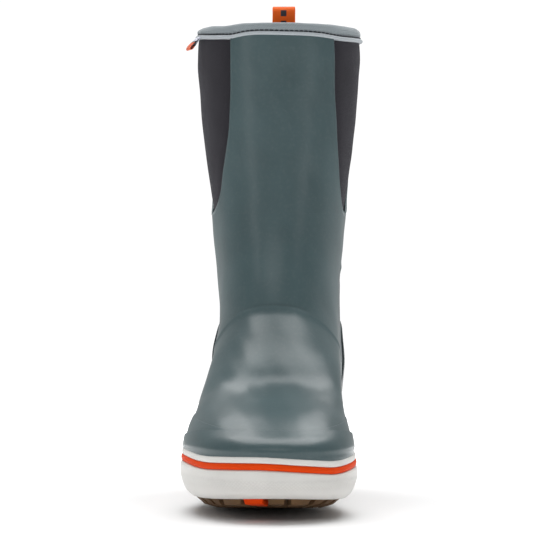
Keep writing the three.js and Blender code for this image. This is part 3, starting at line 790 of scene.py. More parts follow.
def upper(turn, z, offset):
    """Points on a layer of the upper, with its unevenness."""
    turn, z, offset = np.broadcast_arrays(
        np.asarray(turn, float), np.asarray(z, float), np.asarray(offset, float)
    )
    base = surface(turn, z)
    return base + outward(turn, z) * (offset + ripple(base))[..., None]


def profile_heights(low, high, step):
    """Heights that space points evenly along the upper's front profile."""
    fine = np.linspace(low, high, 800)
    run = np.concatenate([[0], np.cumsum(np.hypot(np.diff(fine), np.diff(front_y(fine))))])
    count = max(2, round(run[-1] / step))
    return np.interp(np.linspace(0, run[-1], count + 1), run, fine)


# The gussets' edges seen from the side, as (y, height).
GUSSET_REAR = [(58, U_Z), (70, 202), (80, 213), (88, 229), (97, 255), (104, 288), (107, 317), (108, 340)]
OUTER_FRONT = [
    (58, U_Z), (43, 199.5), (32, 207.5), (24, 226), (17.5, 249), (13.5, 278), (10.3, 317), (10, 340),
]
INNER_FRONT = [
    (58, U_Z), (50, 199.5), (44.5, 204), (38, 215), (31.5, 235), (23.5, 274), (19, 314), (18, 340),
]


def edge_turn(edge):
    """Turn of a gusset's edge against height, as a function."""
    curve = smooth_path(edge, 400)
    heights = np.maximum.accumulate(curve[:, 1])
    turns = turn_at(curve[:, 0], heights)
    return lambda z: np.interp(z, heights, turns)


outer_edge = edge_turn(OUTER_FRONT)
inner_edge = edge_turn(INNER_FRONT)
rear_edge = edge_turn(GUSSET_REAR)

# Middle of the piping at each turn, in degrees; it dips a little where the tape's ends meet.
piping_curve = through([
    (-180, 320.5), (-120, 322.3), (-90, 322.9), (-75, 322.4), (-60, 321.2), (-48, 320.2), (-38, 319.6),
    (-30, 319.4), (-24, 320.3), (-18, 321), (0, 321), (20, 320.7), (35, 320.1), (48, 319.1), (62, 319.2),
    (85, 320.2), (120, 320.5), (180, 320.5),
])


def signed_degrees(turns):
    return (np.degrees(turns) + 180) % 360 - 180


def piping_z(turns):
    return piping_curve(signed_degrees(turns))


def lifted(turns, z):
    """Heights near the collar, moved so that the shell's top edge follows the piping."""
    share = smooth_step(z, SHELL_TOP - 32, SHELL_TOP)
    return z + share * (piping_z(turns) - SHELL_UNDER_PIPING - SHELL_TOP)


def rubber_shell():
    """The moulded foot and leg, split above the gussets' lowest point into a front panel and a back one."""
    under = [SHELL_LOW, 24, 30, 36]
    foot = profile_heights(FEATHER_Z, ANKLE_Z, 2.6)
    leg = np.linspace(ANKLE_Z, U_Z, 16)[1:]
    ring_rows = np.array([*under, *foot, *leg])
    # rows close together at the bottom of the U, where the edges turn quickly
    rise = np.array([0.05, 0.15, 0.35, 0.7, 1.2, 2, 3, 4.3, 6, 8, 10.5, 13.5, 17, 21])
    top_rows = np.array([U_Z, *(U_Z + rise), *np.linspace(U_Z + 25, SHELL_TOP, 26)])
    ring_turns = np.arange(COLUMNS) * COLUMN
    ring_grid = np.broadcast_arrays(ring_turns[None], ring_rows[:, None])

    def panel(from_turn, to_turn, count):
        share = np.linspace(0, 1, count + 1)[None]
        return from_turn[:, None] * (1 - share) + to_turn[:, None] * share, top_rows[:, None] + 0 * share

    front = panel(-outer_edge(top_rows), inner_edge(top_rows), 2 * HALF_FRONT)
    back = panel(rear_edge(top_rows), 2 * math.pi - rear_edge(top_rows), COLUMNS - 2 * HALF_FRONT)
    outer, inner, faces, base = [], [], [], 0
    for (turns, heights), wrap in ((ring_grid, True), (front, False), (back, False)):
        heights = lifted(turns, heights)
        outer.append(upper(turns, heights, 0.0).reshape(-1, 3))
        inner.append(upper(turns, heights, -RUBBER).reshape(-1, 3))
        faces += [[i + base for i in face] for face in grid_faces(*turns.shape, wrap)]
        base += turns.size
    outer, inner = np.concatenate(outer), np.concatenate(inner)
    # the panels' lowest rows are the ring's highest
    keys = {}
    merged = np.array([keys.setdefault(tuple(np.round(p, 3)), i) for i, p in enumerate(outer)])
    kept = np.unique(merged)
    index = np.searchsorted(kept, merged)
    faces = [[int(index[i]) for i in f] for f in faces]
    made = shell("rubber_shell_skin", outer[kept], inner[kept], faces)
    return round_edges(made, 0.45)


def gusset_path(front_edge, side, count=110):
    """The turns and heights round one gusset's U, from the front panel's top to the back panel's."""
    heights = U_Z + (SHELL_TOP - U_Z) * np.linspace(0, 1, count) ** 2.2
    front = side * front_edge(heights)
    rear = side * rear_edge(heights)
    return np.concatenate([front[::-1], rear[1:]]), np.concatenate([heights[::-1], heights[1:]])


def gusset_lip(name, front_edge, side):
    """A rolled bead along the rubber's edge round the neoprene panel."""
    bead_width, bead_height, sunk = 1.1, 1.0, 0.72
    turns, heights = gusset_path(front_edge, side)
    heights = lifted(turns, heights)
    on_surface = upper(turns, heights, 0.0)
    normal = outward(turns, heights)
    run = run_along(on_surface)
    even = np.linspace(0, run[-1], 150)
    path, normal = (
        np.stack([np.interp(even, run, values[:, k]) for k in range(3)], axis=1)
        for values in (on_surface, normal)
    )
    angles = np.linspace(0, 2 * math.pi, 12, endpoint=False)
    section = np.stack([bead_width * np.cos(angles), bead_height * np.sin(angles) - sunk], axis=1)
    sections = np.broadcast_to(section, (len(path), *section.shape))
    return sweep(name, path, sections, np.cross(normal, np.gradient(path, axis=0)))


# ------------------------------------------------------------------ neoprene and lining
def gusset_share(turns, z, reach=9.0):
    """1 well inside a gusset and 0 outside, with a soft edge this many millimetres wide."""
    leg_radius = 60.0
    turned = (turns + math.pi) % (2 * math.pi) - math.pi
    front = np.where(turned < 0, outer_edge(z), inner_edge(z))
    ahead = (np.abs(turned) - front) * leg_radius
    behind = (rear_edge(z) - np.abs(turned)) * leg_radius
    return smooth_step(np.minimum(ahead, behind), -1.0, reach) * smooth_step(z, U_Z, U_Z + 14)


def sock(name, turns, outer, inner, floor_low, floor_high, wall_rows):
    """A sock with a closed floor; outer and inner give an offset for arrays of turns and heights."""
    outside = [(z, outer) for z in (floor_low, *wall_rows)]
    inside = [(z, inner) for z in (*wall_rows[::-1], floor_high)]
    grid = np.stack([upper(turns, z, offset(turns, z)) for z, offset in outside + inside])
    return from_grid(name, grid, wrap_columns=True, cap=True)


SOCK_ROWS = np.array([26, 32, 41, *profile_heights(44, ANKLE_Z, 4.0), *np.linspace(139, 325, 64)])


def neoprene_bootie():
    """The stretch sock, which swells a little in the two gussets."""
    swell = 0.75

    def outer(turns, z):
        return NEOPRENE_OUT + swell * gusset_share(turns, np.full_like(turns, z))

    turns = np.arange(COLUMNS) * COLUMN
    return sock("neoprene_sock", turns, outer, lambda t, z: NEOPRENE_IN, *NEOPRENE_FLOOR, SOCK_ROWS)


def lining():
    """The lining lies on the neoprene, with slow slack wrinkles in the foot and ankle."""
    wrinkle = 0.5

    def outer(turns, z):
        slack = smooth_step(z, 60, 110) * (1 - smooth_step(z, 180, 260))
        waves = np.sin(5 * turns + z / 9) * np.sin(z / 6.5 + 2 * np.cos(turns))
        return LINING_OUT + wrinkle * slack * waves

    def inner(turns, z):
        return outer(turns, z) - LINING

    turns = np.arange(COLUMNS) * COLUMN
    rows = SOCK_ROWS[SOCK_ROWS > LINING_FLOOR[1]]
    return sock("lining_cloth", turns, outer, inner, *LINING_FLOOR, rows)


# ------------------------------------------------------------------ rubber overlays
OVERLAY_ROWS = 14
OVERLAY_LOW = 38.6  # the rand and the bumper reach down behind the foxing to this
# Side-view lines of their upper edges: (y, height).
rand_line = through([(-170, 57), (-120, 57), (-90, 60), (-40, 62.5), (30, 62), (80, 66), (170, 70)])
bumper_line = through([(-170, 56), (-125, 56), (-100, 54.5), (-70, 51), (-40, 46.5), (-18, 42.2)])


def meet(line, turns):
    """The height at which each turn of the surface crosses a side-view line."""
    z = np.full_like(turns, 58.0)
    for _ in range(30):
        z = 0.5 * z + 0.5 * line(surface(turns, z)[..., 1])
    return z


def strip(name, turns, low, high, rows, outer, inner, wrap=False):
    """An overlay between two heights for each turn."""
    share = np.linspace(0, 1, rows)[:, None]
    heights = low[None] * (1 - share) + high[None] * share
    return overlay(name, turns[None] + 0 * share, heights, outer, inner, wrap)


def foot_rand():
    turns = np.arange(COLUMNS * 2) * COLUMN / 2
    low = np.full_like(turns, OVERLAY_LOW)
    high = meet(rand_line, turns)
    made = strip("foot_rand_strip", turns, low, high, OVERLAY_ROWS, RAND_OUT, OVERLAY_IN, True)
    return round_edges(made, 0.7)


def toe_bumper():
    """The strip over the toe. It thins towards the foxing that covers its lower edge, and in the middle of
    the toe its upper edge runs out into the rand."""
    under_foxing = 1.95
    half = math.radians(82)
    turns = np.linspace(-half, half, 180)
    low = np.full_like(turns, OVERLAY_LOW)
    high = np.maximum(meet(bumper_line, turns), FEATHER_Z + 0.5)
    share = np.linspace(0, 1, OVERLAY_ROWS)[:, None]
    melt = 1 - smooth_step(np.abs(np.degrees(turns)), 26, 44)
    outer = under_foxing + (BUMPER_OUT - under_foxing) * smooth_step(share, 0.2, 0.42)
    outer = outer - (BUMPER_OUT - RAND_OUT - 0.1) * melt[None] * smooth_step(share, 0.5, 1)
    made = strip("toe_bumper_cap", turns, low, high, OVERLAY_ROWS, outer, OVERLAY_OUT)
    return round_edges(made, 0.5)


# The vamp overlay's upper edge: (turn from the toe in degrees, height).
VAMP_REACH = 91.5
vamp_edge = through([
    (0, 134.2), (15.5, 133), (36.5, 127), (50.6, 118), (65, 104), (80, 85), (88, 70), (VAMP_REACH, 63.5),
])


def vamp_overlay():
    """The forefoot's overlay, with a thin bead along its upper edge."""
    bead = 0.5
    turns = np.radians(np.linspace(-VAMP_REACH, VAMP_REACH, 190))
    low = meet(rand_line, turns) - 1.0
    high = np.maximum(vamp_edge(np.abs(np.degrees(turns))), low + 0.8)
    rows = np.append(profile_heights(57, 131, 2.4), [131.8, 132.5, 133, 133.5, 134])
    share = ((rows - rows[0]) / (rows[-1] - rows[0]))[:, None]
    heights = low[None] * (1 - share) + high[None] * share
    outer = OVERLAY_OUT + bead * smooth_step(share, 0.93, 0.985)
    made = overlay("vamp_overlay_panel", turns[None] + 0 * share, heights, outer, OVERLAY_IN)
    return round_edges(made, 0.5)


def heel_counter():
    """A rounded patch over the heel, whose edge is a superellipse in turn and height."""
    base_z, rise, reach, squareness = 66, 65, 76, 0.5
    angle = np.radians(np.linspace(0, 88, 40))
    heights = np.concatenate([[0, 0.5], base_z + rise * np.sin(angle[1:]) ** squareness])
    half = np.radians(np.concatenate([[reach, reach], reach * np.cos(angle[1:]) ** squareness]))
    share = np.linspace(-1, 1, 120)[None]
    turns = math.pi + half[:, None] * share
    low = meet(rand_line, turns[0]) - 1.0
    z = heights[:, None] + 0 * turns
    # the two lowest rows run from the rand's top to the edge's lower end
    z[0] = low
    z[1] = low + 0.5 * (z[2] - low)
    z = np.maximum(z, low[None])
    made = overlay("heel_counter_panel", turns, z, OVERLAY_OUT, OVERLAY_IN)
    return round_edges(made, 0.5)


def kick_off_ridge():
    """A bar across the heel with rounded ends, to push the boot off with."""
    reach, middle_z, half_height, half_depth = 46, 88, 4.2, 1.8
    turns = math.pi + np.radians(np.linspace(-reach, reach, 90))
    ends = np.minimum(1, np.sqrt(np.clip((reach - np.abs(np.degrees(turns) - 180)) / 5, 0.01, 1)))
    angles = np.linspace(0, 2 * math.pi, 20, endpoint=False)
    flat = np.sign(np.sin(angles)) * np.abs(np.sin(angles)) ** 0.7
    tall = np.sign(np.cos(angles)) * np.abs(np.cos(angles)) ** 0.8
    z = middle_z + half_height * tall[None] * (0.4 + 0.6 * ends[:, None])
    offset = OVERLAY_OUT - 0.05 + (1 + flat[None]) * half_depth * ends[:, None]
    grid = upper(turns[:, None] + 0 * z, z, offset)
    return from_grid("kick_off_ridge_bar", grid, wrap_columns=True, cap=True)


def back_stay():
    """The strip over the back seam."""
    half_width_at_seam = 12
    rows = np.linspace(131.5, SHELL_TOP - 0.5, 60)
    half = np.arcsin(half_width_at_seam / inner_heel(rows))
    share = np.linspace(-1, 1, 15)[None]
    turns = math.pi + half[:, None] * share
    made = overlay("back_stay_strip", turns, rows[:, None] + 0 * turns, OVERLAY_OUT, OVERLAY_IN)
    return round_edges(made, 0.45)


# ------------------------------------------------------------------ collar
COLLAR_BASE_Z = 320.0


def collar_point(turns, z, offset):
    """A point near the collar: offset level with the ground, at exactly the height asked for."""
    turns, z, offset = np.broadcast_arrays(turns, np.asarray(z, float), np.asarray(offset, float))
    base = surface(turns, np.minimum(z, COLLAR_Z))
    out = unit(outward(turns, COLLAR_BASE_Z - 10) * [1, 1, 0])
    points = base + out * offset[..., None]
    points[..., 2] = z
    return points


def collar_dip(turns):
    """A small dip where the binding's ends meet, on the outer side of the front."""
    deep, at, half = 0.8, -38, 9
    return -deep * np.exp(-(((signed_degrees(turns) - at) / half) ** 2))


def collar_binding():
    """A padded knit binding, drawn in at every stitch along its lower edge."""
    columns_per_stitch = 5
    height_over_piping = 7.4
    turns = even_turns(STITCHES * columns_per_stitch, z=COLLAR_BASE_Z)
    section = smooth_path([
        (-1.6, -0.2), (-0.5, 1.3), (0.3, 3.2), (0.2, 5.4), (-1.0, 7.0), (-3.2, 7.4), (-5.6, 7.4),
        (-7.9, 6.2), (-8.8, 3.2), (-8.6, -1.0), (-8.0, -2.6), (-7.2, -2.7), (-6.9, 0), (-6.6, 3.4),
        (-4.4, 4.6), (-2.3, 3.4), (-2.1, 0.4), (-1.6, -0.2),
    ], 45)[:-1]
    run = np.arange(len(turns)) / columns_per_stitch
    pull = 0.5 + 0.5 * np.cos(2 * math.pi * run)
    wander = 0.12 * np.sin(run * 0.61) + 0.1 * np.sin(run * 0.23 + 1) + 0.08 * np.sin(run * 1.37 + 2)
    offset = section[None, :, 0] + 0 * turns[:, None]
    height = section[None, :, 1] + 0 * turns[:, None]
    outside = smooth_step(offset, -2.5, -0.5) * (1 - smooth_step(height, 0.3, 4.5))
    offset = offset - 0.3 * pull[:, None] * outside
    offset = offset + wander[:, None] * smooth_step(offset, -5, -0.5)
    base = piping_z(turns)[:, None] + 0.9
    share = np.clip(height / height_over_piping, 0, 1)
    top = COLLAR_Z + collar_dip(turns)[:, None] + 0.5 * wander[:, None]
    z = np.where(height > 0, base + share * (top - base), base + height)
    points = collar_point(turns[:, None], z, offset)
    return from_grid("collar_binding_roll", points, wrap_columns=True, wrap_rows=True)


def collar_piping():
    """A rounded hem that stands out over the rubber's top edge."""
    turns = even_turns(360, z=COLLAR_BASE_Z)
    section = smooth_path([
        (-1.9, -1.9), (-0.2, -1.5), (0.7, -1.2), (1.35, -0.35), (1.1, 0.55), (0.1, 1.05), (-0.8, 1.0),
        (-1.9, 0.6), (-2.0, -0.6), (-1.9, -1.9),
    ], 25)[:-1]
    z = piping_z(turns)[:, None] + section[None, :, 1]
    offset = section[None, :, 0] + 0 * z
    points = collar_point(turns[:, None], z, offset)
    return from_grid("collar_piping_hem", points, wrap_columns=True, wrap_rows=True)


def collar_stitching():
    """A row of lock stitches in the groove over the piping, and its underside inside the collar."""
    half = 0.27 * 2 * math.pi / STITCHES
    solids = []
    for turn in even_turns(STITCHES, z=COLLAR_BASE_Z, start=0.5 / STITCHES):
        local = np.array([turn - half, turn, turn + half])
        z = piping_z(local) + 1.7
        solids.append(capsule(collar_point(local, z, np.array([-0.7, -0.2, -0.7])), 0.5))
        solids.append(capsule(collar_point(local, z - 1.0, np.array([-8.45, -8.75, -8.45])), 0.3))
    return many("collar_stitches", solids)


# ------------------------------------------------------------------ pull loop
LOOP_Y = float(back_y(COLLAR_Z)) + TAIL_GAP + 1.3
LOOP_Z = COLLAR_Z + 1.7


def strap_section(width, thick, corner=0.55):
    """A flat section with rounded ends, as (across, outward) pairs."""
    half_w, half_t = width / 2, thick / 2
    points = []
    right, left = half_w - corner, corner - half_w
    for centre, start in ((right, -90), (right, 0), (left, 90), (left, 180)):
        for k in range(4):
            angle = math.radians(start + 30 * k)
            up = half_t - corner if 0 <= start < 180 else corner - half_t
            points.append((centre + corner * math.cos(angle), up + corner * math.sin(angle)))
    return np.array(points)


def loop_path():
    """The webbing's middle line in [y, z]: up the inner tail, round the loop and down the outer tail."""
    half = WEBBING / 2 + 0.03
    top = LOOP_HEIGHT - WEBBING / 2
    flank = [(half, 0), (1.5, 2.2), (3.1, 6), (4.1, 11), (4.0, 16), (2.7, 20), (0, top)]
    inner = [(LOOP_Y - y, LOOP_Z + z) for y, z in flank]
    outer = [(LOOP_Y + y, LOOP_Z + z) for y, z in flank[:-1]][::-1]
    tail_z = np.linspace(TAIL_LOW, COLLAR_Z - 2.5, 9)
    lie = back_y(tail_z) + TAIL_GAP
    inner_tail = list(zip(lie + half, tail_z))
    outer_tail = list(zip(lie + 3 * half, tail_z))[::-1]
    return smooth_path([*inner_tail, *inner, *outer, *outer_tail], 260)


def pull_strap():
    """The webbing, whose edges wander a little."""
    path = loop_path()
    line = np.stack([np.zeros(len(path)), path[:, 0], path[:, 1]], axis=1)
    section = strap_section(WEBBING_WIDTH, WEBBING)
    run = run_along(path)
    sections = np.stack([
        section * [1 + 0.006 * math.sin(r / 3.1) + 0.004 * math.sin(r / 1.3 + 1), 1.0] for r in run
    ])
    made = sweep("pull_strap", line, sections, np.tile([1.0, 0, 0], (len(path), 1)))
    set_cloth(made, sections[0, :, 0] + WEBBING_WIDTH / 2, run)
    return made


def strap_stitching():
    """A sewn box with a cross, through both ends of the webbing."""
    half_x, low, high = 6.2, 296.0, 311.0
    y_out = TAIL_GAP + 2 * WEBBING + 0.12
    pitch, gap = 2.6, 0.14

    def run_of(a, b):
        a, b = np.array(a), np.array(b)
        count = max(2, round(np.linalg.norm(b - a) / pitch))
        step = (b - a) / count
        return [(a + step * (k + gap), a + step * (k + 1 - gap)) for k in range(count)]

    corners = [(-half_x, low), (half_x, low), (half_x, high), (-half_x, high)]
    lines = [(corners[i], corners[(i + 1) % 4]) for i in range(4)]
    lines += [(corners[0], corners[2]), (corners[1], corners[3])]
    solids = []
    for a, b in lines:
        for start, end in run_of(a, b):
            x = np.array([start[0], (start[0] + end[0]) / 2, end[0]])
            z = np.array([start[1], (start[1] + end[1]) / 2, end[1]])
            y = back_y(z) + y_out + np.array([-0.1, 0.12, -0.1])
            solids.append(capsule(np.stack([x, y, z], axis=1), 0.3))
    return many("strap_stitches", solids)


# ------------------------------------------------------------------ side label
def side_label():
    """A ribbon folded on itself, standing out and down from under the piping."""
    normal = outward(LABEL_TURN, LABEL_Z)
    root = surface(LABEL_TURN, LABEL_Z) + normal * 2.0
    out = unit(normal * [1, 1, 0])
    along = unit(0.85 * out + [0, 0, -1])
    width = np.cross(out, [0, 0, 1])
    up = np.cross(width, along)
    # the folded ribbon's middle line, seen from the side: along it and up from it
    side = smooth_path([
        (-0.6, 0.32), (2, 0.5), (5.5, 0.95), (8.7, 1.0), (10.2, 0.45), (LABEL_LENGTH, -0.15), (10.1, -0.75),
        (8.3, -1.05), (5, -0.85), (2, -0.5), (-0.6, -0.36),
    ], 70)
    path = root + side[:, :1] * along + side[:, 1:] * up
    normal = np.cross(width, unit(np.gradient(path, axis=0)))
    section = strap_section(LABEL_WIDTH, 0.42, 0.19)
    grid = path[:, None] + section[None, :, :1] * width + section[None, :, 1:] * normal[:, None]
    # the ribbon bows a little across its width
    crown = 1 - (section[:, 0] / (LABEL_WIDTH / 2)) ** 2
    bow = 0.5 * crown * np.clip(side[:, :1] / LABEL_LENGTH, 0, 1)
    made = from_grid("side_label_ribbon", grid + bow[..., None] * up, wrap_columns=True, cap=True)
    set_cloth(made, section[:, 0] + LABEL_WIDTH / 2, run_along(side))
    return made


# ------------------------------------------------------------------ sole unit
EDGE_COLUMNS = 420
BAND_IN = 0.3  # offset of the bands' backs
CURL_POWER = 3.6  # the sidewall's lower edge curls up later than the tread does
# Dip of the bands across the toe: (x, rise).
toe_dip = through([
    (-60, 1.0), (-52, 0.6), (-45, -0.4), (-37, -0.9), (-28, -0.5), (-15, 0.1), (-2, 0.4), (10, 0),
    (22, -0.9), (32, -1.8), (40, -2.7), (46, -3.2), (52, -2.6), (58, -1.2),
])


def band(name, face, back):
    """A band round the sole, from (offset, height, share of the toe curl). Its outer face is a smooth curve
    and its back a few straight runs; its upper part dips at the toe's corners, as hand-laid bands do."""
    turns = even_turns(EDGE_COLUMNS)
    profile = np.concatenate([smooth_path(face, 26), np.asarray(back, float)])
    rings = [plan_ring(turns, offset, level(z, share, CURL_POWER)) for offset, z, share in profile]
    grid = np.stack(rings, axis=1)
    at_toe = 1 - smooth_step(grid[..., 1], -95, -40)
    grid[..., 2] += toe_dip(grid[..., 0]) * at_toe * smooth_step(grid[..., 2], 20, 33)
    return from_grid(name, grid, wrap_columns=True, wrap_rows=True)


def sidewall():
    low, high = SIDEWALL_LOW, STRIPE_LOW - STEP_BETWEEN_BANDS
    face = [
        (-5.0, low, 0.33), (-3.4, low + 0.15, 0.33), (-1.4, low + 1.6, 0.3), (0.5, 15.2, 0.25),
        (2.4, 19, 0.18), (3.7, 23, 0.14), (4.3, 27, 0.08), (4.1, 30, 0.03), (3.5, high - 0.5, 0),
        (2.7, high, 0),
    ]
    back = [(BAND_IN, high, 0), (BAND_IN, 19, 0), (-4.4, low + 2, 0.4)]
    return band("sidewall_band", face, back)


def orange_stripe():
    low, high = STRIPE_LOW + STEP_BETWEEN_BANDS, FOXING_LOW
    face = [
        (2.3, low, 0), (3.0, low + 0.2, 0), (3.5, low + 1.0, 0), (3.65, low + 2.1, 0), (3.4, high - 0.9, 0),
        (2.9, high - 0.15, 0), (2.2, high, 0),
    ]
    return band("orange_stripe_band", face, [(BAND_IN, high, 0), (BAND_IN, low, 0)])


def upper_foxing():
    low, high = FOXING_LOW + STEP_BETWEEN_BANDS, FOXING_TOP
    face = [
        (2.2, low, 0), (2.8, low + 0.2, 0), (3.1, low + 0.9, 0), (3.1, low + 1.8, 0), (2.6, high - 0.55, 0),
        (1.9, high - 0.1, 0), (1.2, high, 0),
    ]
    return band("upper_foxing_band", face, [(BAND_IN, high, 0), (BAND_IN, low, 0)])


# ------------------------------------------------------------------ outsole
def edge_track(side):
    """The feather line in plan from the toe tip round one side: run, x, y and the outward direction."""
    turns = side * np.radians(np.arange(181))
    points = surface(turns, FEATHER_Z)[:, :2]
    return run_along(points), np.column_stack([points, outward(turns, FEATHER_Z - 5)[:, :2]])


TRACKS = {1: edge_track(1), -1: edge_track(-1)}


def edge_point(side, length, inset):
    """The point a given length from the toe tip along one side, drawn in by an inset."""
    run, track = TRACKS[-side if length < 0 else side]
    x, y, out_x, out_y = (np.interp(abs(length), run, track[:, k]) for k in range(4))
    return np.array([x - out_x * inset, y - out_y * inset])


def lug(ground, root, draft=0.8, lift=0.0):
    """A tread block from its plan at the ground to its plan at the outsole's plate, drawn out a little
    towards the root. Its corners at the ground may be lifted. Returns the vertices and faces of a box cut
    into bands, so that its sides curve."""
    ground, root = np.asarray(ground, float), np.asarray(root, float)
    rings = []
    for share in (0.0, 0.3, 0.65, 1.0):
        ring = ground * (1 - share) + root * share
        ring = ring + unit(ring - ring.mean(axis=0)) * draft * share**1.6
        risen = spring(ring[:, 1]) * (1 - share + ROOT_SPRING * share)
        rings.append(np.column_stack([ring, LUG_ROOT * share + risen + lift * (1 - share)]))
    return tube(rings)


def edge_lug(side, span, draft=1.2):
    """A block at the sole's edge between two lengths, whose outer face leans out towards the sidewall."""
    start, end = span[0] + LUG_TRIM, span[1] - LUG_TRIM
    deep, narrowing = EDGE_INSET + LUG_DEPTH, 0.8
    toe_lift, side_lift = 0.8, 2.5

    def plan(lean_at_toe, lean_at_side):
        outer = []
        for at in np.linspace(start, end, 5):
            root = edge_point(side, at, ROOT_INSET)
            lean = lean_at_toe + (lean_at_side - lean_at_toe) * smooth_step(abs(root[0]), 20, 40)
            foot = edge_point(side, at, ROOT_INSET + lean)
            foot[0] = root[0] + (foot[0] - root[0]) * smooth_step(abs(root[0]), 20, 34)
            outer.append(foot)
        inner = [edge_point(side, at, deep) for at in (end - narrowing, start + narrowing)]
        return np.array([*outer, *inner])

    ground = plan(LEAN_AT_TOE, GROUND_INSET - ROOT_INSET)
    lift = toe_lift + (side_lift - toe_lift) * smooth_step(np.abs(ground[:, 0]), 24, 40)
    lift[-2:] = 0.0  # the inner corners stand on the ground
    return lug(ground, plan(0.0, 0.0), draft, lift)


def even_row(start, count):
    """The spans of evenly spaced blocks."""
    return [(start + i * PITCH, start + i * PITCH + LUG_LENGTH) for i in range(count)]


def edge_lugs():
    side_length = {side: TRACKS[side][0][-1] for side in (1, -1)}
    inner = [*INNER_TOE, *even_row(33.5, 6), *even_row(side_length[1] - HEEL_ROW, 4)]
    outer = [*OUTER_TOE, *even_row(51.5, 5), *even_row(side_length[-1] - HEEL_ROW, 4)]
    return [edge_lug(1, span) for span in inner] + [edge_lug(-1, span) for span in outer]


def chevron_bars():
    """Bars across the forefoot and the heel, between the edge blocks."""
    inset, thick, peak, spacing = EDGE_INSET + LUG_DEPTH + 3, 6, 6, 13
    made = []
    for y in (*range(-104, -12, spacing), *range(86, 113, spacing)):
        left = inset - half_width(False, y, FEATHER_Z)
        right = half_width(True, y, FEATHER_Z) - inset
        front = [(left, y), (0, y - peak), (right, y)]
        back = [(x, at + thick) for x, at in front[::-1]]
        made.append(lug(front + back, front + back, draft=0.3))
    return made


def outsole():
    """The plate, which follows the toe spring, with its tread blocks."""
    turns = even_turns(240)
    profile = [
        (-30, 4.6, 1), (-16, 4.6, 1), (-14.6, 5.4, 1), (-13.5, 7.5, 0.9), (-10, 10.5, 0.7), (-4.6, 12, 0.6),
        (-30, 12.3, 0.6),
    ]  # offset, height, share of the toe spring
    grid = np.stack([plan_ring(turns, offset, level(z, share)) for offset, z, share in profile])
    # the inner rings are drawn to the sole's middle line, so that they don't cross at the toe
    for row in (0, -1):
        grid[row, :, 0] *= 0.2
        grid[row, :, 1] = np.clip(surface(turns, FEATHER_Z)[:, 1], TOE_Y + 50, HEEL_Y - 40)
        grid[row, :, 2] = level(profile[row][1], profile[row][2])(grid[row, :, 1])
    plate = from_grid("outsole_plate", grid, wrap_columns=True, cap=True)
    blocks = many("outsole_lugs", edge_lugs() + chevron_bars())
    round_edges(blocks, 1.0)
    return plate, blocks


def toe_insert():
    return round_edges(many("toe_tread_block", [edge_lug(-1, INSERT_SPAN, 1.9)]), 0.8)


def heel_insert():
    back, front = HEEL_Y - EDGE_INSET, HEEL_Y - EDGE_INSET - 12
    plan = [(-7, front), (7, front), (7, back), (-7, back)]
    return round_edges(many("heel_tread_block", [lug(plan, plan)]), 0.8)


# ------------------------------------------------------------------ footbed
def footbed():
    """A moulded foam footbed with a raised rim, a cupped heel and an arch on the inner side."""
    gap, top_z = 0.5, 33.6
    turns = even_turns(220)
    edge = plan_ring(turns, LINING_OUT - LINING - gap, 28.0)
    spine_y = np.clip(edge[:, 1], TOE_Y + 48, HEEL_Y - 38)
    spine_x = 0.35 * toe_lean(spine_y)
    # each row's share of the way from the edge to the spine, and its height where it is level
    rows = [(0.0, 27.75), (0.0, 29.5), (0.0, 33.4), (0.02, 34.3), (0.07, 34.5), (0.14, 34.0)]
    rows += [(k, None) for k in (0.24, 0.36, 0.5, 0.64, 0.78, 0.9, 0.97)]
    grid = []
    for share, z in rows:
        x = edge[:, 0] * (1 - share) + spine_x * share
        y = edge[:, 1] * (1 - share) + spine_y * share
        if z is None:
            cup = 1.6 * smooth_step(y, 60, 110)
            arch = 3.2 * smooth_step(x, 4, 30) * np.exp(-(((y - 25) / 38) ** 2))
            ball = 0.9 * np.exp(-(((y + 70) / 26) ** 2 + ((x - 4) / 26) ** 2))
            dish = 1.6 * smooth_step(share, 0.14, 0.5) + cup * smooth_step(share, 0.1, 0.45)
            z = top_z - dish + arch - ball
        grid.append(np.column_stack([x, y, np.broadcast_to(z, x.shape)]))
    return from_grid("footbed_cushion", np.array(grid), wrap_columns=True, cap=True)


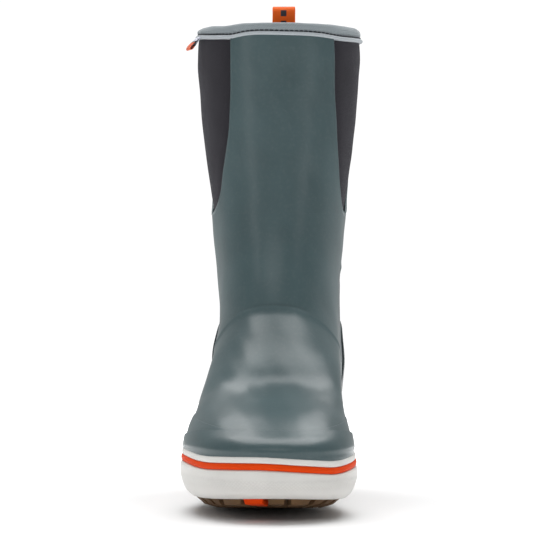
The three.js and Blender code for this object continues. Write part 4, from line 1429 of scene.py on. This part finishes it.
# ------------------------------------------------------------------ building
def build():
    shell_rubber = rubber_material("shell_rubber", SHELL_COLOUR)
    # a darker copy of the shell rubber, painted shade on the heel counter and the kick-off ridge
    counter_painted_shade = rubber_material("counter_rubber", PAINTED_SHADE_COUNTER_COLOUR, (0.38, 0.5))
    neoprene = neoprene_material()
    binding_knit = knit_tape_material("binding_knit", BINDING_COLOUR)
    piping_knit = knit_tape_material("piping_knit", PIPING_COLOUR, 0.0)
    thread = thread_material("dark_thread", THREAD_COLOUR)
    webbing = webbing_material()
    orange_thread = thread_material("orange_thread", ORANGE_THREAD_COLOUR)
    white = sidewall_material("white_foxing", PALE_RUBBER, True)
    white_plain = sidewall_material("white_band", PALE_RUBBER, False)
    orange = rubber_material("orange_rubber", ORANGE_RUBBER, (0.5, 0.62), 0.04, 0.00002, 0.0)
    orange.node_tree.nodes["Principled BSDF"].inputs["Specular IOR Level"].default_value = 0.12
    gum = gum_material("gum_rubber", GUM_COLOUR)
    # a darker copy of the gum, painted shade for the plate where it shows between the blocks
    painted_shade_groove_gum = gum_material("painted_shade_groove_gum", PAINTED_SHADE_GROOVE_COLOUR)

    piece(rubber_shell(), shell_rubber, ["rubber_shell"])
    piece(gusset_lip("gusset_lip_outer", outer_edge, -1), shell_rubber)
    piece(gusset_lip("gusset_lip_inner", inner_edge, 1), shell_rubber)
    bootie = piece(neoprene_bootie(), neoprene, ["neoprene_bootie"])
    piece(lining(), lining_material(), ["lining_sock"])
    piece(foot_rand(), shell_rubber, ["foot_rand"])
    piece(toe_bumper(), shell_rubber, ["toe_bumper"])
    piece(vamp_overlay(), shell_rubber, ["vamp_overlay"])
    piece(heel_counter(), counter_painted_shade, ["heel_counter"])
    piece(kick_off_ridge(), counter_painted_shade, ["kick_off_ridge"])
    piece(back_stay(), shell_rubber, ["back_stay"])
    roll = piece(collar_binding(), binding_knit, ["collar_binding"])
    piece(collar_piping(), piping_knit, ["collar_piping"])
    piece(collar_stitching(), thread)
    strap = piece(pull_strap(), webbing, ["pull_loop", "pull_loop_tail"], body=None)
    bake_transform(strap)
    piece(strap_stitching(), orange_thread)
    piece(side_label(), label_material(), ["side_label"], body="label")
    piece(sidewall(), white, ["sidewall"])
    piece(orange_stripe(), orange, ["orange_stripe"])
    piece(upper_foxing(), white_plain, ["upper_foxing"])
    plate, blocks = outsole()
    piece(plate, painted_shade_groove_gum, ["outsole"])
    piece(blocks, gum)
    piece(toe_insert(), orange, ["toe_tread_insert"])
    piece(heel_insert(), orange, ["heel_tread_insert"])
    cushion = piece(footbed(), plain_material("footbed_foam", (0.05, 0.055, 0.06), 0.8, 500, 0.0002, 0.3),
                    ["footbed"])
    hidden = {
        "toe_puff": plain_material("stiffener_sheet", (0.55, 0.53, 0.48), 0.7, 300, 0.0001),
        "shank": plain_material("shank_steel", (0.4, 0.41, 0.42), 0.35, 800, 0.00003, 0.08, 1.0),
        "lasting_board": plain_material("fibre_board", (0.45, 0.32, 0.18), 0.85, 900, 0.0001, 0.25),
        "midsole": plain_material("midsole_foam", (0.6, 0.58, 0.52), 0.8, 1200, 0.0001),
    }
    hidden["heel_stiffener"] = hidden["toe_puff"]
    for node, its_material in hidden.items():
        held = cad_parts[node]
        held.data.materials.clear()
        held.data.materials.append(its_material)


# ------------------------------------------------------------------ camera, light and floor
VIEW_DISTANCE = 1800.0
VIEW_HEIGHT = 169.0
VIEW_TURN = math.radians(3.0)
LENS = 175.6
SENSOR = 36.0
SHIFT_X, SHIFT_Y = -0.0074, -0.0278  # shares of the image's width
WORLD_LIGHT = 0.52
FRONT_LIGHT = 0.3
CAMERA_WHITE = 1.05


def camera():
    data = bpy.data.cameras.new("camera")
    data.lens = LENS
    data.sensor_width = SENSOR
    data.clip_end = 20.0
    data.shift_x = SHIFT_X
    data.shift_y = SHIFT_Y
    made = bpy.data.objects.new("camera", data)
    bpy.context.scene.collection.objects.link(made)
    made.location = Vector(place([
        VIEW_DISTANCE * math.sin(VIEW_TURN), -VIEW_DISTANCE * math.cos(VIEW_TURN), VIEW_HEIGHT,
    ]))
    made.rotation_euler = (math.pi / 2, 0, VIEW_TURN)
    bpy.context.scene.camera = made


def floor():
    """A pale floor with a painted glow: it emits light that rises away from the boot, brightening it to
    plain white.
    """
    half = 1.2
    corners = [(-half, -half, 0), (half, -half, 0), (half, half, 0), (-half, half, 0)]
    mesh = bpy.data.meshes.new("floor")
    mesh.from_pydata(corners, [], [(0, 1, 2, 3)])
    made = bpy.data.objects.new("floor", mesh)
    bpy.context.scene.collection.objects.link(made)
    m = Nodes("studio_floor")
    m.colour(m.mix(m.noise(3.0), (0.93, 0.93, 0.93), (0.96, 0.96, 0.96)))
    m.set(Roughness=0.9, Specular_IOR_Level=0.1)
    scales = {0: m.position(), 1: (1.6, 1, 1)}
    squeezed = m.node("ShaderNodeVectorMath", operation="MULTIPLY", inputs=scales)
    away = m.node("ShaderNodeVectorMath", operation="LENGTH", inputs={0: squeezed.outputs["Vector"]})
    # painted glow: emission strength grows from none near the boot to 0.6 further out
    glow = m.spread(away.outputs["Value"], 0.21, 0.5, 0.0, 0.6)
    m.link(glow, m.shader.inputs["Emission Strength"])
    m.shader.inputs["Emission Color"].default_value = (1, 1, 1, 1)
    mesh.materials.append(m.material)


def area_light(name, spot, target, size, power):
    """A soft box at a spot, facing a target; both in metres."""
    data = bpy.data.lights.new(name, "AREA")
    data.shape = "RECTANGLE"
    data.size, data.size_y = size
    data.energy = power
    made = bpy.data.objects.new(name, data)
    bpy.context.scene.collection.objects.link(made)
    made.location = spot
    made.rotation_euler = (Vector(target) - Vector(spot)).to_track_quat("-Z", "Y").to_euler()


def studio():
    """White surroundings for the camera, dimmer as the boot sees them, and soft boxes."""
    world = bpy.data.worlds.new("studio")
    bpy.context.scene.world = world
    world.use_nodes = True
    tree = world.node_tree
    make, link = tree.nodes.new, tree.links.new
    direction = make("ShaderNodeTexCoord")
    split = make("ShaderNodeSeparateXYZ")
    link(direction.outputs["Generated"], split.inputs[0])
    behind = make("ShaderNodeMapRange")
    link(split.outputs["Y"], behind.inputs["Value"])
    span = {"From Min": 0.0, "From Max": 0.6, "To Min": FRONT_LIGHT, "To Max": WORLD_LIGHT}
    for key, value in span.items():
        behind.inputs[key].default_value = value
    path = make("ShaderNodeLightPath")
    strength = make("ShaderNodeMix")
    link(path.outputs["Is Camera Ray"], strength.inputs["Factor"])
    link(behind.outputs["Result"], strength.inputs["A"])
    strength.inputs["B"].default_value = CAMERA_WHITE
    link(strength.outputs["Result"], tree.nodes["Background"].inputs["Strength"])
    tree.nodes["Background"].inputs["Color"].default_value = (1, 1, 1, 1)
    middle = (0, 0, 0.16)
    area_light("overhead", (0, 0.45, 1.4), (0, 0.3, 0), (1.7, 1.3), 27)
    area_light("front_top", (-0.08, -1.2, 0.85), (0, -0.15, 0.05), (1.1, 0.4), 2.0)
    area_light("left", (-1.2, -1.1, 0.35), middle, (0.4, 1.2), 1.7)
    area_light("right", (1.3, -0.95, 0.2), middle, (0.3, 0.8), 0.7)


# ------------------------------------------------------------------ the scene
build()
camera()
floor()
studio()
bpy.context.scene.view_settings.view_transform = "Standard"
bpy.context.view_layer.update()
